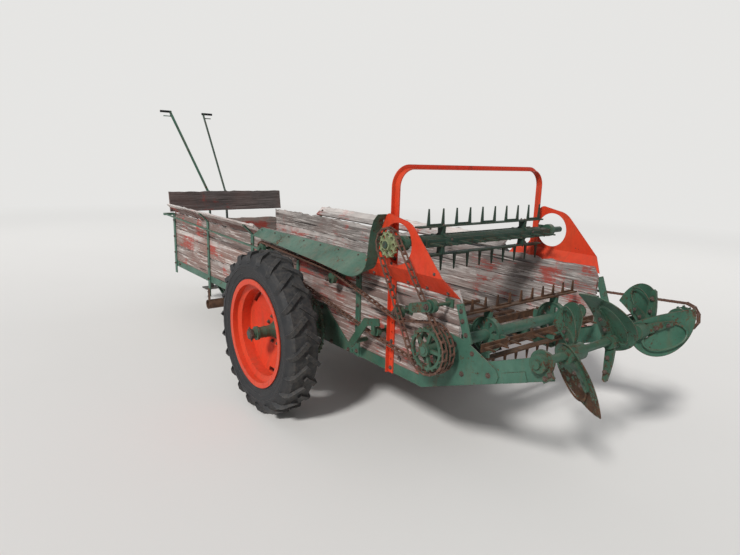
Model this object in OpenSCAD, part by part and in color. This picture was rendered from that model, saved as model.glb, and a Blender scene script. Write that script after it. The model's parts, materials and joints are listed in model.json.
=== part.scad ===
// Two-beater box spreader with a rear distributor, drawn in its parked pose.
// Left is +X, the rear is +Y and the ground is Z = 0. Along the machine, every
// place is measured from the axle, and about_axle() moves it all to the frame's origin.

/* [Wheels and axle] */
// Radius of a tyre out to the tips of its lugs
tyre_r = 500; // [480:5:520]
// Height of a lug above the carcass
lug_h = 20; // [14:1:24]
// Width of a tyre
tyre_w = 200; // [180:5:220]
// Radius of the rim's bead seat
bead_r = 305; // [300:1:310]
// Height of the rim's flange above the bead seat
flange_h = 26; // [20:1:30]
// From the side of the box to the middle of each tyre
wheel_gap = 347; // [337:5:377]
// Number of lugs on each side of a tyre
lugs = 22; // [18:1:24]
// Width of a lug
lug_w = 26; // [22:1:30]
// Angle of the lugs across the tread
lug_angle = 40; // [35:1:45]
// Radius of the axle
axle_r = 24; // [20:1:28]

/* [Box] */
// Half the width across the outside of the box
box_half = 583; // [560:1:600]
// Thickness of the boards
board_t = 22; // [18:1:26]
// From the axle forward to the front of the box
box_front = 2700; // [2500:10:2800]
// From the axle back to the end of the side boards
box_rear = 1250; // [1235:1:1262]
// Height of the side boards above the sills
board_h = 490; // [460:5:510]
// Width of the sloping flare boards
flare_w = 110; // [90:5:130]
// Height of the front board above its lower edge
front_flare_h = 200; // [160:5:220]
// Height of the floor above the underside of the sills
floor_h = 155; // [145:1:165]

/* [Frame] */
// Drop of the sills' underside below the axle
sill_drop = 80; // [75:1:90]
// Height of a sill
sill_h = 60; // [50:1:65]
// Thickness of the steel plates and angles
steel_t = 6; // [4:0.5:8]
// From the axle back to the bend of the rear arms
arm_bend = 1020; // [1000:5:1040]
// Rise of the rear arms
arm_rise = 21.5; // [18:0.5:24]
// Length of the rear arms
arm_len = 806; // [780:2:830]
// Depth of the rear arms
arm_w = 100; // [85:1:110]
// From the axle forward to the hitch pin
hitch_reach = 3760; // [3600:10:3900]
// Height of the hitch pin plate above the ground
hitch_z = 400; // [380:5:430]
// Radius of the hitch pin's hole
hitch_hole_r = 13.5; // [11:0.5:16]
// Gap between the two hitch plates
hitch_gap = 36; // [30:1:45]

/* [Beaters] */
// Place of the lower beater behind the axle
lower_y = 1165; // [1155:1:1175]
// Height of the lower beater above the sills' underside
lower_h = 270; // [262:1:276]
// Radius of the lower beater's bars
lower_bar_r = 138; // [125:1:142]
// Length of the lower beater's teeth
lower_tooth = 62; // [50:1:64]
// Place of the upper beater behind the axle
upper_y = 860; // [850:1:870]
// Height of the upper beater above the sills' underside
upper_h = 720; // [710:1:730]
// Radius of the upper beater's bars
upper_bar_r = 78; // [70:1:84]
// Length of the upper beater's teeth
upper_tooth = 88; // [75:1:92]
// From the inside of the box to the ends of the upper beater's bars
upper_side = 46; // [40:1:70]
// From the inside of the box to the ends of the lower beater's bars
lower_side = 86; // [70:1:110]
// Radius of the beaters' and the distributor's shafts
shaft_r = 18; // [15:0.5:20]

/* [Distributor] */
// From the end of the rear arms back to the distributor
dist_inset = 64; // [60:1:75]
// Height of the distributor above the arms' lower edge
dist_rise = 83; // [75:1:88]
// From the shaft out to a paddle's tip
paddle_r = 300; // [280:5:310]
// From the shaft back to the foot of a paddle's straight edge
paddle_foot = 60; // [50:5:70]
// Width of a paddle
paddle_w = 200; // [170:5:210]
// Radius of the paddles' hollow
dish_r = 600; // [500:10:800]

/* [Chains] */
// Pitch of the drive chains
pitch = 41.4; // [40:0.1:43]
// Width of a drive chain
chain_w = 36; // [32:1:38]
// Depth of a chain link
chain_d = 14; // [10:1:16]
// Teeth on the beater sprockets
lower_teeth = 18; // [17:1:19]
upper_teeth = 12; // [11:1:12]
// Teeth on the axle's sprocket
axle_teeth = 35; // [34:1:35]
// Teeth on the distributor's sprocket
dist_teeth = 11; // [10:1:13]
// From the side of the box to the main chain
main_gap = 71; // [69:1:75]
// From the main chain to the upper chain
chain_step = 48; // [46:1:52]

/* [Arch and shields] */
// Distance between the holes in the arch's legs
hole_step = 50; // [40:5:60]
// Height of the arch above the sills' underside
arch_h = 1107; // [1050:5:1150]
// Radius of the arch's corners
arch_bend = 115; // [90:5:140]
// Width of the arch's angle iron
arch_w = 40; // [34:1:44]
// Place of the arch behind the axle
arch_y = 776; // [770:1:785]
// From the side of the box to the shields' upper panels
shield_out = 57; // [50:1:64]
// Radius of the shields' opening
shield_hole_r = 105; // [95:1:110]

/* [Hidden] */
$fn = 48;

fit = 0.3;          // gap between pieces that only meet
run_fit = 0.05;     // radial clearance of a turning shaft
board_gap = 0.6;    // joint between two boards
arc_step = 20;      // turn of one straight facet where a chain bends
clear = 6;          // least gap beside a moving piece
shift_y = 967.4;    // from the axle forward to the middle of the whole length

axle_z = tyre_r;
sill_z = axle_z - sill_drop;
sill_top = sill_z + sill_h;
board_top = sill_top + board_h;
floor_top = sill_z + floor_h;
inner = box_half - board_t;
wheel_x = box_half + wheel_gap;
main_x = box_half + main_gap;
upper_x = main_x + chain_step;
shield_x = box_half + shield_out;
upper_len = 2 * (inner - upper_side);
lower_len = 2 * (inner - lower_side);
lower_z = sill_z + lower_h;
upper_z = sill_z + upper_h;
dist_y = arm_bend + (arm_len - dist_inset) * cos(arm_rise);
dist_z = sill_z + (dist_y - arm_bend) * tan(arm_rise) + dist_rise;
rim_in = wheel_x - tyre_w / 2;
rim_out = wheel_x + tyre_w / 2;
bearing_r = 38;     // outside of a beater bearing
boss_len = 40;      // a bearing's reach from the side of the box

// Pitch radius of a sprocket, and the radius of its tooth tips inside a fixed chain
function pitch_r(teeth) = pitch / (2 * sin(180 / teeth));
function tip_r(teeth) = pitch_r(teeth) - chain_d / 2 - clear;

// Points along an arc in the side view
function arc(c, r, a0, a1, n = 12) =
    [for (i = [0 : n]) let (a = a0 + (a1 - a0) * i / n) c + r * [cos(a), sin(a)]];

module about_axle() translate([0, shift_y, 0]) children();

// A side-view outline (y, z), drawn from x0 outwards
module side_plate(x0, t) translate([x0, 0, 0]) rotate([90, 0, 90]) linear_extrude(t) children();

// A cross-section (x, z), drawn from y0 to y1
module along(y0, y1) translate([0, y1, 0]) rotate([90, 0, 0]) linear_extrude(y1 - y0) children();

// A round bar across the machine
module cross_bar(y, z, x0, x1, r) translate([x0, y, z]) rotate([0, 90, 0]) cylinder(r = r, h = x1 - x0);

module both() {
    children();
    mirror([1, 0, 0]) children();
}

// A straight strip between two points of an outline
module strip(p, q, w) {
    d = q - p;
    translate(p) rotate(atan2(d[1], d[0])) translate([0, -w / 2]) square([norm(d), w]);
}

// Frame

// The band along the arms' lower edge, from the gusset to the distributor's bearing
band_t = 4;
band_w = 45;
band_from = (lower_y + 366 - arm_bend) / cos(arm_rise);
band_to = (dist_y - 62 - arm_bend) / cos(arm_rise);

// Height of the rear arms' upper edge
function arm_top(y) = sill_z + arm_w / cos(arm_rise) + (y - arm_bend) * tan(arm_rise);

module sills() color("darkseagreen") about_axle() both() difference() {
    union() {
        along(-box_front, arm_bend) {
            translate([box_half - steel_t, sill_z]) square([steel_t, sill_h]);
            translate([box_half - sill_h, sill_z]) square([sill_h, steel_t]);
        }
        side_plate(box_half - steel_t, steel_t)
            translate([arm_bend, sill_z]) rotate(arm_rise) square([arm_len, arm_w]);
        side_plate(box_half, band_t) translate([arm_bend, sill_z]) rotate(arm_rise)
            translate([band_from, 0]) square([band_to - band_from, band_w]);
    }
    cross_bar(0, axle_z, inner, box_half + 1, axle_r + clear);
    cross_bar(dist_y, dist_z, inner, box_half + 1, bearing_r + fit);
}

module axle_brackets() color("seagreen") about_axle() both() difference() {
    union() {
        side_plate(box_half, steel_t) polygon([
            [-420, sill_z], [420, sill_z], [420, sill_z + 25], [120, axle_z + 155],
            [-120, axle_z + 155], [-420, sill_z + 25]]);
        cross_bar(0, axle_z, box_half, box_half + boss_len, axle_r + 22);
    }
    cross_bar(0, axle_z, box_half - 1, box_half + 60, axle_r + run_fit);
}

module gussets() color("darkseagreen") about_axle() both() difference() {
    union() {
        side_plate(box_half, steel_t) polygon([
            [lower_y - 60, 456], [lower_y + 325, 606], [lower_y + 335, 640],
            [lower_y + 315, 672], [lower_y + 137, 748], [lower_y + 25, 760],
            [lower_y - 65, 690]]);
        side_plate(box_half, steel_t) strip([1318, 735], [box_rear, 912], 45);
    }
    cross_bar(lower_y, lower_z, box_half - 1, box_half + 20, bearing_r + fit);
}

module cross_members() color("darkslategray") about_axle() {
    for (y = [-2560, -1700, -860, -140, 640])
        translate([-inner, y, floor_top - board_t - 50]) cube([2 * inner, 60, 50]);
    for (y = [-2600, -1300, -500, 900])
        translate([-(box_half - sill_h), y, sill_z]) cube([2 * (box_half - sill_h), 50, steel_t]);
}

pipe_y = -1790;
pipe_z = 214;
pipe_r = 42;
pipe_half = box_half + 27;

module front_pipe() color("darkolivegreen") about_axle() {
    difference() {
        cross_bar(pipe_y, pipe_z, -pipe_half, pipe_half, pipe_r);
        cross_bar(pipe_y, pipe_z, -pipe_half - 1, pipe_half + 1, pipe_r - 5);
    }
    both() side_plate(box_half + 8, 6) strip([pipe_y, pipe_z + pipe_r - 4], [pipe_y, sill_z - 60], 44);
}

hitch_y = -hitch_reach;
rail_h = 60;
rail_t = 10;
rail_w = 34;
rail_end = [33, hitch_y + 170, hitch_z];
rail_foot = [box_half - 153, pipe_y + 50, pipe_z + pipe_r + rail_h / 2 - 2.8];

stand_y = hitch_y + 520;
stand_half = 20;
stand_pin_r = 8;
stand_share = (stand_y - rail_end[1]) / (rail_foot[1] - rail_end[1]);
stand_tube_z = rail_end[2] + (rail_foot[2] - rail_end[2]) * stand_share;
stand_tube_r = 22;
stand_pin_z = stand_tube_z - stand_tube_r - clear - stand_half;

// A flat rail on edge from p to q
module rail(p, q, h, t) {
    d = q - p;
    translate(p) rotate([0, -asin(d[2] / norm(d)), atan2(d[1], d[0])])
        translate([0, -t / 2, -h / 2]) cube([norm(d), t, h]);
}

// Half the distance between the inner faces of the rails, and a block that fills it
function rail_gap(y) = let (d = rail_foot - rail_end)
    rail_end[0] + (y - rail_end[1]) * d[0] / d[1] - rail_t / 2 * norm([d[0], d[1]]) / d[1];
module between_rails(y0, y1, z0, z1) translate([0, 0, z0]) linear_extrude(z1 - z0)
    polygon([[-rail_gap(y0), y0], [rail_gap(y0), y0], [rail_gap(y1), y1], [-rail_gap(y1), y1]]);

// A bar on edge from p to q, w wide, set out by v from its inner face
module channel(p, q, h, t, w, v) {
    d = q - p;
    translate(p) rotate([0, -asin(d[2] / norm(d)), atan2(d[1], d[0])])
        translate([-v, v - t / 2, -h / 2]) cube([norm(d) + 2 * v, w - v, h]);
}

module drawbar() color("seagreen") about_axle() both() difference() {
    channel(rail_foot, rail_end, rail_h, rail_t, rail_w, 0);
    channel(rail_foot, rail_end, rail_h - 2 * rail_t + 4, rail_t, rail_w + 1, rail_t);
}

module hitch() color("seagreen") about_axle() difference() {
    union() {
        for (z = [hitch_z + hitch_gap / 2, hitch_z - hitch_gap / 2 - 14]) {
            translate([-27, hitch_y, z]) cube([54, 180, 14]);
            translate([0, hitch_y, z]) cylinder(r = 34, h = 14);
        }
        translate([-27, hitch_y + 110, hitch_z - hitch_gap / 2]) cube([54, 70, hitch_gap]);
        between_rails(rail_end[1], rail_end[1] + 90, hitch_z - hitch_gap / 2 - 14,
            hitch_z + hitch_gap / 2 + 14);
    }
    translate([0, hitch_y, hitch_z - 60]) cylinder(r = hitch_hole_r, h = 120);
}

module stand_mount() color("seagreen") about_axle() {
    intersection() {
        cross_bar(stand_y, stand_tube_z, -300, 300, stand_tube_r);
        between_rails(stand_y - 30, stand_y + 30, stand_tube_z - 30, stand_tube_z + 30);
    }
    both() side_plate(stand_half + clear, steel_t)
        strip([stand_y, stand_tube_z], [stand_y, stand_pin_z - 22], 50);
    cross_bar(stand_y, stand_pin_z, -(stand_half + clear + 8), stand_half + clear + 8, stand_pin_r);
}

module stand() color("dimgray") about_axle() {
    difference() {
        side_plate(-stand_half, 2 * stand_half) {
            translate([stand_y, stand_pin_z]) circle(stand_half);
            translate([stand_y - stand_half, 12]) square([2 * stand_half, stand_pin_z - 12]);
        }
        cross_bar(stand_y, stand_pin_z, -50, 50, stand_pin_r + run_fit);
    }
    translate([-90, stand_y - 70, 0]) cube([180, 140, 12]);
}

// Box

floor_planks = 8;
side_planks = 3;

module floor_boards() color("burlywood") about_axle() {
    w = 2 * inner / floor_planks;
    for (i = [0 : floor_planks - 1])
        translate([-inner + i * w, front_shaft_y + 5, floor_top - board_t])
            cube([w - (i < floor_planks - 1 ? board_gap : 0), rear_shaft_y - front_shaft_y - 30, board_t]);
}

guard_front = -740;
guard_rear = 555;
guard_rise = 64;    // the board under the chain guard stands this much higher

module side_boards() color("burlywood") about_axle() {
    both() difference() {
        side_plate(inner, board_t) polygon([
            [-box_front, sill_top], [arm_bend - sill_h * tan(arm_rise) - fit, sill_top],
            [arm_bend - arm_w * sin(arm_rise) - fit, sill_z + arm_w * cos(arm_rise) + fit],
            [box_rear, arm_top(box_rear) + fit],
            [box_rear, board_top - 60], [box_rear - 30, board_top], [-box_front, board_top]]);
        cross_bar(0, axle_z, inner - 1, box_half + 1, axle_r + clear);
        cross_bar(lower_y, lower_z, inner - 1, box_half + 1, bearing_r + 2);
        cross_bar(rear_shaft_y, apron_z, inner - 1, box_half + 1, apron_shaft_r + fit);
        for (i = [1 : side_planks - 1])
            translate([inner - 1, -box_front - 1, sill_top + i * board_h / side_planks])
                cube([board_t + 2, box_front + box_rear + 2, board_gap]);
    }
    translate([inner, guard_front, board_top]) cube([board_t, guard_rear - guard_front, guard_rise]);
}

module front_panel() color("peru") about_axle()
    translate([-inner, -box_front, sill_z + 10]) cube([2 * inner, board_t, 450]);

// side, from y, to y of each sloping board: the right one has lost its front part
FLARES = [[1, -2672, -740], [-1, -1850, 520]];
flare_x = box_half + 3;

module flare_boards() color("burlywood") about_axle()
    for (f = FLARES) scale([f[0], 1, 1]) along(f[1], f[2])
        translate([flare_x, board_top]) rotate(45) square([flare_w, 20]);

module front_flare() color("saddlebrown") about_axle()
    side_plate(-620, 1240) polygon([
        [-box_front, board_top], [-box_front + 24, board_top],
        [-box_front - 6, board_top + front_flare_h], [-box_front - 30, board_top + front_flare_h]]);

// y of a stake, width, drop of its foot below the sill's underside, then how its
// top ends on the left and on the right: 0 straight, 1 under a flare, 2 under the guard
STAKES = [[-2676, 48, 70, 0, 0], [-1790, 42, 130, 1, 1], [-900, 42, 0, 1, 1],
    [-215, 28, -240, 2, 1], [470, 42, 0, 2, 1]];

function stake_top(kind) =
    kind == 1 ? [[box_half + 8, board_top - 6.3], [box_half + 80, board_top + 65.7],
        [box_half + 74.3, board_top + 71.3], [box_half, board_top - 3]]
    : kind == 2 ? [[box_half + 8, guard_z(8)], [box_half, guard_z(0)]]
    : [[box_half + 8, board_top - 20], [box_half, board_top - 20]];

module stakes() color("seagreen") about_axle() for (s = STAKES, side = [0, 1])
    mirror([side, 0, 0]) along(s[0] - s[1] / 2, s[0] + s[1] / 2) polygon(concat(
        [[box_half, sill_z - s[2]], [box_half + 8, sill_z - s[2]]], stake_top(s[3 + side])));

// Arch and shields

arch_in = box_half;
arch_t = 25;

// The arch's outline out to half width w and height h, with round corners
module arch_outline(w, h, r) {
    translate([-w, 0]) square([2 * w, h - r]);
    translate([-w + r, 0]) square([2 * (w - r), h]);
    for (side = [-1, 1]) translate([side * (w - r), h - r]) circle(r);
}

// One leaf of the arch's angle iron, w wide from y and t deep
module arch_leaf(y, w, t) along(y, y + w) translate([0, sill_z]) difference() {
    arch_outline(arch_in + t, arch_h - arch_t + t, arch_bend - arch_t + t);
    translate([0, -1]) arch_outline(arch_in, arch_h - arch_t + 1, arch_bend - arch_t);
}

module arch() color("orangered") about_axle() difference() {
    union() {
        arch_leaf(arch_y - arch_w / 2, steel_t, arch_t);
        arch_leaf(arch_y - arch_w / 2, arch_w, steel_t);
    }
    both() for (z = [sill_z + 28 : hole_step : upper_z - 60])
        cross_bar(arch_y + steel_t / 2, z, box_half - 1, box_half + steel_t + 1, 6);
}

// The shields bend in at their crease to meet the side of the box
shield_t = 3;
crease_z = board_top + 50;
shield_y0 = 600;
shield_y1 = 1185;

module shields() color("tomato") about_axle() both() difference() {
    union() {
        side_plate(shield_x, shield_t) polygon(concat(
            [[shield_y0, crease_z - 1], [shield_y0 + 84, crease_z + 8], [arch_y - 72, upper_z - 86],
                [arch_y - 64, upper_z - 16], [arch_y - 54, upper_z + 50]],
            arc([arch_y + 20, upper_z + 95], 50, 172, 95, 6),
            arc([upper_y + 35, upper_z - 5], 128, 85, 43, 6),
            [[shield_y1, crease_z - 1]]));
        intersection() {
            along(shield_y0 - 40, box_rear) polygon([
                [shield_x, crease_z], [shield_x + shield_t, crease_z], [shield_x + shield_t, crease_z - 2],
                [box_half + shield_t, crease_z - 88], [box_half, crease_z - 88], [box_half, crease_z - 84]]);
            side_plate(inner, 100) polygon([
                [shield_y0, crease_z], [shield_y0 - 40, crease_z - 90],
                [box_rear, crease_z - 90], [shield_y1, crease_z]]);
        }
    }
    cross_bar(upper_y, upper_z, shield_x - 1, shield_x + 5, shield_hole_r);
    translate([arch_in - 2, arch_y - arch_w / 2 - 1, sill_z]) cube([arch_t + 3, steel_t + 2, arch_h]);
    translate([arch_in - 2, arch_y - arch_w / 2 - 1, sill_z]) cube([steel_t + 3, arch_w + 2, arch_h]);
}

// The guard slopes down and outwards from the box, then curls up along the shield to the arch
guard_slope = 0.68;
guard_t = 3;
guard_z0 = board_top + guard_rise;
function guard_z(x) = guard_z0 - guard_t - guard_slope * x;

// y along the guard, and how far its outer edge is from the side of the box there
GUARD_WIDTHS = [[guard_front, 78], [-300, 98], [200, 125], [520, 150], [guard_rear, 150]];
curl_in = shield_out + shield_t + fit;
curl_out = 130;
CURL = [[guard_rear - 9, guard_z0 - 68], [600, guard_z0 - 76], [640, guard_z0 - 72], [672, guard_z0 - 57],
    [arch_y - 81, guard_z0 - 28], [arch_y - 68, upper_z - 88], [arch_y - 60, upper_z - 16],
    [arch_y - 50, upper_z + 50], [arch_y - 30, upper_z + 108], [arch_y - 8, upper_z + 138]];

// The line p moved by t to its right
function beside(p, t) = [for (i = [0 : len(p) - 1]) let (
    d = p[min(len(p) - 1, i + 1)] - p[max(0, i - 1)]) p[i] + t / norm(d) * [d[1], -d[0]]];
function turned_round(p) = [for (i = [len(p) - 1 : -1 : 0]) p[i]];

module chain_guard() color("mediumseagreen") about_axle() {
    intersection() {
        along(guard_front, guard_rear) polygon([
            [box_half, guard_z(0)], [box_half + 160, guard_z(160)],
            [box_half + 160, guard_z(160) + guard_t], [box_half, guard_z(0) + guard_t]]);
        translate([0, 0, sill_top]) linear_extrude(board_h * 2) polygon(concat(
            [[box_half, guard_rear], [box_half, guard_front]],
            [for (g = GUARD_WIDTHS) [box_half + g[1], g[0]]]));
    }
    side_plate(box_half + curl_in, curl_out - curl_in)
        polygon(concat(CURL, turned_round(beside(CURL, guard_t))));
}

module bearings() color("slategray") about_axle() both() {
    difference() {
        cross_bar(lower_y, lower_z, inner, box_half + boss_len, bearing_r);
        cross_bar(lower_y, lower_z, inner - 1, 900, shaft_r + run_fit);
    }
    difference() {
        union() {
            cross_bar(upper_y, upper_z, arch_in + steel_t, arch_in + boss_len, bearing_r);
            side_plate(arch_in + steel_t, 12)
                strip([arch_y - arch_w / 2 + steel_t + 1, upper_z], [upper_y, upper_z], 60);
        }
        cross_bar(upper_y, upper_z, inner, upper_x, shaft_r + run_fit);
    }
    difference() {
        union() {
            cross_bar(dist_y, dist_z, box_half - 30, box_half + boss_len, bearing_r);
            side_plate(box_half, 12) {
                translate([dist_y, dist_z]) circle(54);
                strip([dist_y, dist_z - 12], [dist_y + 42, dist_z - 64], 56);
            }
        }
        cross_bar(dist_y, dist_z, 400, 900, shaft_r + run_fit);
    }
}

// Chains: each wheel of a loop is [y, z, radius], and a negative radius presses from outside

// Heading of the run from wheel a to wheel b, on the left of each positive wheel
function run_angle(a, b) = let (d = [b[0] - a[0], b[1] - a[1]])
    atan2(d[1], d[0]) + asin((b[2] - a[2]) / norm(d));
function wheel_at(w, i) = w[(i + len(w)) % len(w)];
// Where the loop w meets its wheel i, as an angle, and how far it goes round it
function start_angle(w, i) = run_angle(wheel_at(w, i - 1), w[i]) + 90;
function turn_angle(w, i) = let (a = start_angle(w, i) - 90 - run_angle(w[i], wheel_at(w, i + 1)))
    ((sign(w[i][2]) * a) % 360 + 360) % 360;

// Outline of a loop around its wheels, shifted outwards by h
function loop(w, h) = [for (i = [0 : len(w) - 1])
    let (r = w[i][2] + h, turn = turn_angle(w, i), n = max(2, ceil(turn / arc_step)))
    for (k = [0 : n]) let (a = start_angle(w, i) - sign(w[i][2]) * turn * k / n)
        [w[i][0], w[i][1]] + r * [cos(a), sin(a)]];

// The play between two links: at both ends of a wide turn, or in the middle of a slight one
module partings(w) for (i = [0 : len(w) - 1], k = turn_angle(w, i) > 60 ? [0, 1] : [0.5])
    translate([w[i][0], w[i][1]]) rotate(start_angle(w, i) - sign(w[i][2]) * turn_angle(w, i) * k)
        translate([w[i][2] - chain_d, -fit / 2]) square([2 * chain_d, fit]);

// How far each point of a closed outline is along it, with its place
function walked(p) = [for (i = 0, s = 0; i <= len(p);
    s = s + norm(wheel_at(p, i + 1) - wheel_at(p, i)), i = i + 1)
    [s, wheel_at(p, i)[0], wheel_at(p, i)[1]]];

// Two side bars all round the loop, joined by the links' cross bars one pitch apart
link_t = 6;
module chain_loop(w, x) difference() {
    chain_ladder(w, x);
    side_plate(x - chain_w, 2 * chain_w) partings(w);
}

module chain_ladder(w, x) {
    p = walked(loop(w, 0));
    ys = [for (q = p) [q[0], q[1]]];
    zs = [for (q = p) [q[0], q[2]]];
    total = p[len(p) - 1][0];
    links = round(total / pitch);
    for (side = [-1, 1])
        side_plate(x + side * (chain_w - link_t) / 2 - link_t / 2, link_t) difference() {
            polygon(loop(w, chain_d / 2));
            polygon(loop(w, -chain_d / 2));
        }
    for (i = [0 : links - 1]) let (s = (i + 0.5) * total / links,
        a = atan2(lookup(s + 3, zs) - lookup(s - 3, zs), lookup(s + 3, ys) - lookup(s - 3, ys)))
        translate([x - chain_w / 2 + 2, lookup(s, ys), lookup(s, zs)]) rotate([a, 0, 0])
            translate([0, -6, -5]) cube([chain_w - 4, 12, 10]);
}

front_idler = [-600, sill_z + 485, 45];
guard_idler = [300, sill_z + 440, 40];
press_idler = [905, sill_z + 380, -42];
lift_idler = [735, sill_z + 232, 32];
tension_wheel = [1186, sill_z + 483, -40];
dist_idler = [1440, sill_z + 265, -35];
lower_wheel = [lower_y, lower_z, pitch_r(lower_teeth)];
upper_wheel = [upper_y, upper_z, pitch_r(upper_teeth)];
dist_lower = [lower_y, lower_z, pitch_r(lower_teeth)];
dist_wheel = [dist_y, dist_z, pitch_r(dist_teeth)];

module main_chain() color("sienna") about_axle()
    chain_loop([front_idler, guard_idler, press_idler, lower_wheel, lift_idler], main_x);

module upper_chain() color("sienna") about_axle()
    chain_loop([upper_wheel, tension_wheel, lower_wheel], upper_x);

module distributor_chain() color("sienna") about_axle()
    chain_loop([dist_lower, dist_wheel, dist_idler], -main_x);

// wheel, place across, half the length of its foot
IDLERS = [[front_idler, main_x, 30], [guard_idler, main_x, 30], [press_idler, main_x, 25],
    [lift_idler, main_x, 18], [tension_wheel, upper_x, 25]];

// An idler on a stub whose foot is bolted to the side at x0
module idler(w, x, foot, x0) {
    cross_bar(w[0], w[1], x - 12, x + 12, (abs(w[2]) - chain_d / 2) * cos(arc_step / 2) - fit);
    cross_bar(w[0], w[1], x0 + 8, x + 36, 9);
    side_plate(x0, 8) strip([w[0] - foot, w[1]], [w[0] + foot, w[1]], 40);
}

// A flat bar outside the chain at x, bent over at the top, on a spacer from the box
module hook(w, x) {
    foot = [w[0] - 195, w[1] - 120];
    bend = [w[0] - 66, w[1] + 40];
    side_plate(x, 8) {
        strip(foot, bend, 44);
        translate(bend) circle(22);
        strip(bend, [w[0] + 50, w[1] + 66], 40);
        strip([w[0], w[1] - 15], [w[0], w[1] + 55], 30);
    }
    cross_bar(foot[0] + 12, foot[1] + 15, box_half, x, 13);
}

// A flat bar that holds the tension wheel, on a pivot between the runs of the chain
module tension_arm(w, x) {
    pivot = [w[0] - 101, w[1] - 28];
    side_plate(x, 8) {
        strip(pivot, [w[0], w[1]], 48);
        translate(pivot) circle(24);
        translate([w[0], w[1]]) circle(24);
    }
    cross_bar(pivot[0], pivot[1], box_half, x, 12);
}

module idlers() color("olivedrab") about_axle() {
    for (i = IDLERS) idler(i[0], i[1], i[2], box_half);
    hook(lift_idler, main_x + chain_w / 2 + clear);
    tension_arm(tension_wheel, upper_x + chain_w / 2 + clear);
    mirror([1, 0, 0]) idler(dist_idler, main_x, 25, box_half + steel_t);
}

// Outline of the opening between two of n spokes, w wide
function window(r0, r1, n, w) = let (b0 = asin(w / 2 / r0), b1 = asin(w / 2 / r1))
    concat(arc([0, 0], r1, b1, 360 / n - b1, 6), arc([0, 0], r0, 360 / n - b0, b0, 4));

// A cast sprocket with a rim, its spokes and a hub, or with a ring of holes where it is small
module sprocket(teeth, x, w = 14, spokes = 5, hub = 34) {
    r = tip_r(teeth);
    side_plate(x - w / 2, w) difference() {
        union() {
            circle(r - 8);
            for (i = [0 : teeth - 1]) rotate(i * 360 / teeth)
                polygon([[r - 14, -8], [r, -3], [r, 3], [r - 14, 8]]);
        }
        for (i = [0 : spokes - 1]) rotate(i * 360 / spokes)
            if (r - hub > 50) polygon(window(hub, r - 22, spokes, 16));
            else translate([(r - 8 + hub) / 2, 0]) circle((r - 8 - hub) / 2 - 4);
    }
}

// Running gear

module axle() color("dimgray") about_axle()
    cross_bar(0, axle_z, -(rim_out + 20), rim_out + 20, axle_r);

module axle_sprocket() color("darkolivegreen") about_axle() translate([0, 0, axle_z]) difference() {
    union() {
        sprocket(axle_teeth, main_x, 14, 6);
        cross_bar(0, 0, box_half + boss_len + clear, main_x + 35, 42);
    }
    cross_bar(0, 0, 400, 900, axle_r + 0.02);
}

module wheel_place(side) about_axle() translate([side * wheel_x, 0, axle_z])
    scale([side, 1, 1]) rotate([0, 90, 0]) children();

// Cross-section of a tyre's carcass: radius across, place along the axle upwards
module tyre_section() difference() {
    polygon([
        [bead_r + fit, -82], [bead_r + 30, -82], [bead_r + 110, -tyre_w / 2],
        [tyre_r - 50, -88], [tyre_r - lug_h - 8, -70], [tyre_r - lug_h, 0], [tyre_r - lug_h - 8, 70],
        [tyre_r - 50, 88], [bead_r + 110, tyre_w / 2], [bead_r + 30, 82], [bead_r + fit, 82]]);
    polygon([
        [bead_r - 1, -60], [bead_r + 108, -tyre_w / 2 + 14], [tyre_r - lug_h - 34, -68],
        [tyre_r - lug_h - 20, 0], [tyre_r - lug_h - 34, 68], [bead_r + 108, tyre_w / 2 - 14],
        [bead_r - 1, 60]]);
}

lug_run = tyre_w / 2 / cos(lug_angle);
// How far the nose of a lug lies to one side of its middle, and its height there
lug_reach = (lug_run / 2 + 8) * sin(lug_angle) + lug_w / 2 * cos(lug_angle);
lug_tip = sqrt(tyre_r * tyre_r - lug_reach * lug_reach);

// A bar from the middle of the tread, slanting back over the shoulder
module lug() translate([0, lug_run / 2 * sin(lug_angle), 0]) rotate([lug_angle, 0, 0])
    rotate([90, 0, 0]) translate([0, 0, -lug_w / 2]) linear_extrude(lug_w) polygon([
        [tyre_r - lug_h - 12, -8], [lug_tip, -8], [lug_tip - 6, lug_run * 0.7], [tyre_r - 26, lug_run - 14],
        [tyre_r - 60, lug_run], [tyre_r - 72, lug_run], [tyre_r - 60, lug_run - 20],
        [tyre_r - lug_h - 14, lug_run * 0.66]]);

module rim_section() polygon([
    [bead_r + flange_h, -90], [bead_r + flange_h, -84], [bead_r, -82], [bead_r, -50],
    [bead_r - 32, -36], [bead_r - 32, 36], [bead_r, 50], [bead_r, 82],
    [bead_r + flange_h, 84], [bead_r + flange_h, 90], [bead_r - 6, 88], [bead_r - 6, 55],
    [bead_r - 38, 41], [bead_r - 38, -20], [150, -58], [120, -64], [46, -64],
    [46, -70], [121, -70], [151, -65], [bead_r - 38, -27], [bead_r - 38, -41],
    [bead_r - 6, -55], [bead_r - 6, -88]]);

module hub_section() polygon([
    [axle_r + 0.1, -160], [60, -160], [60, -80], [95, -80], [95, -70.3], [44, -70.3],
    [44, -40], [34, -20], [34, 60], [42, 60], [42, 76], [30, 78], [30, 95], [axle_r + 0.1, 95]]);

module tyre(side) wheel_place(side) {
    rotate_extrude() tyre_section();
    for (i = [0 : lugs - 1], far = [0, 1])
        rotate((i + far / 2) * 360 / lugs - atan2(lug_reach, lug_tip)) mirror([0, 0, far]) lug();
}

// The disc leaves two long gaps at the rim, a little off top and bottom
slot_turn = 25;
slot_half = 30;
module rim(side) wheel_place(side) difference() {
    rotate_extrude() rim_section();
    for (a = [slot_turn, slot_turn + 180]) rotate(a) translate([0, 0, -64]) linear_extrude(44)
        polygon(concat(arc([0, 0], bead_r - 43, -slot_half, slot_half, 8),
            arc([0, 0], bead_r - 67, slot_half, -slot_half, 8)));
}
module hub(side) wheel_place(side) rotate_extrude() hub_section();

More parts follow.
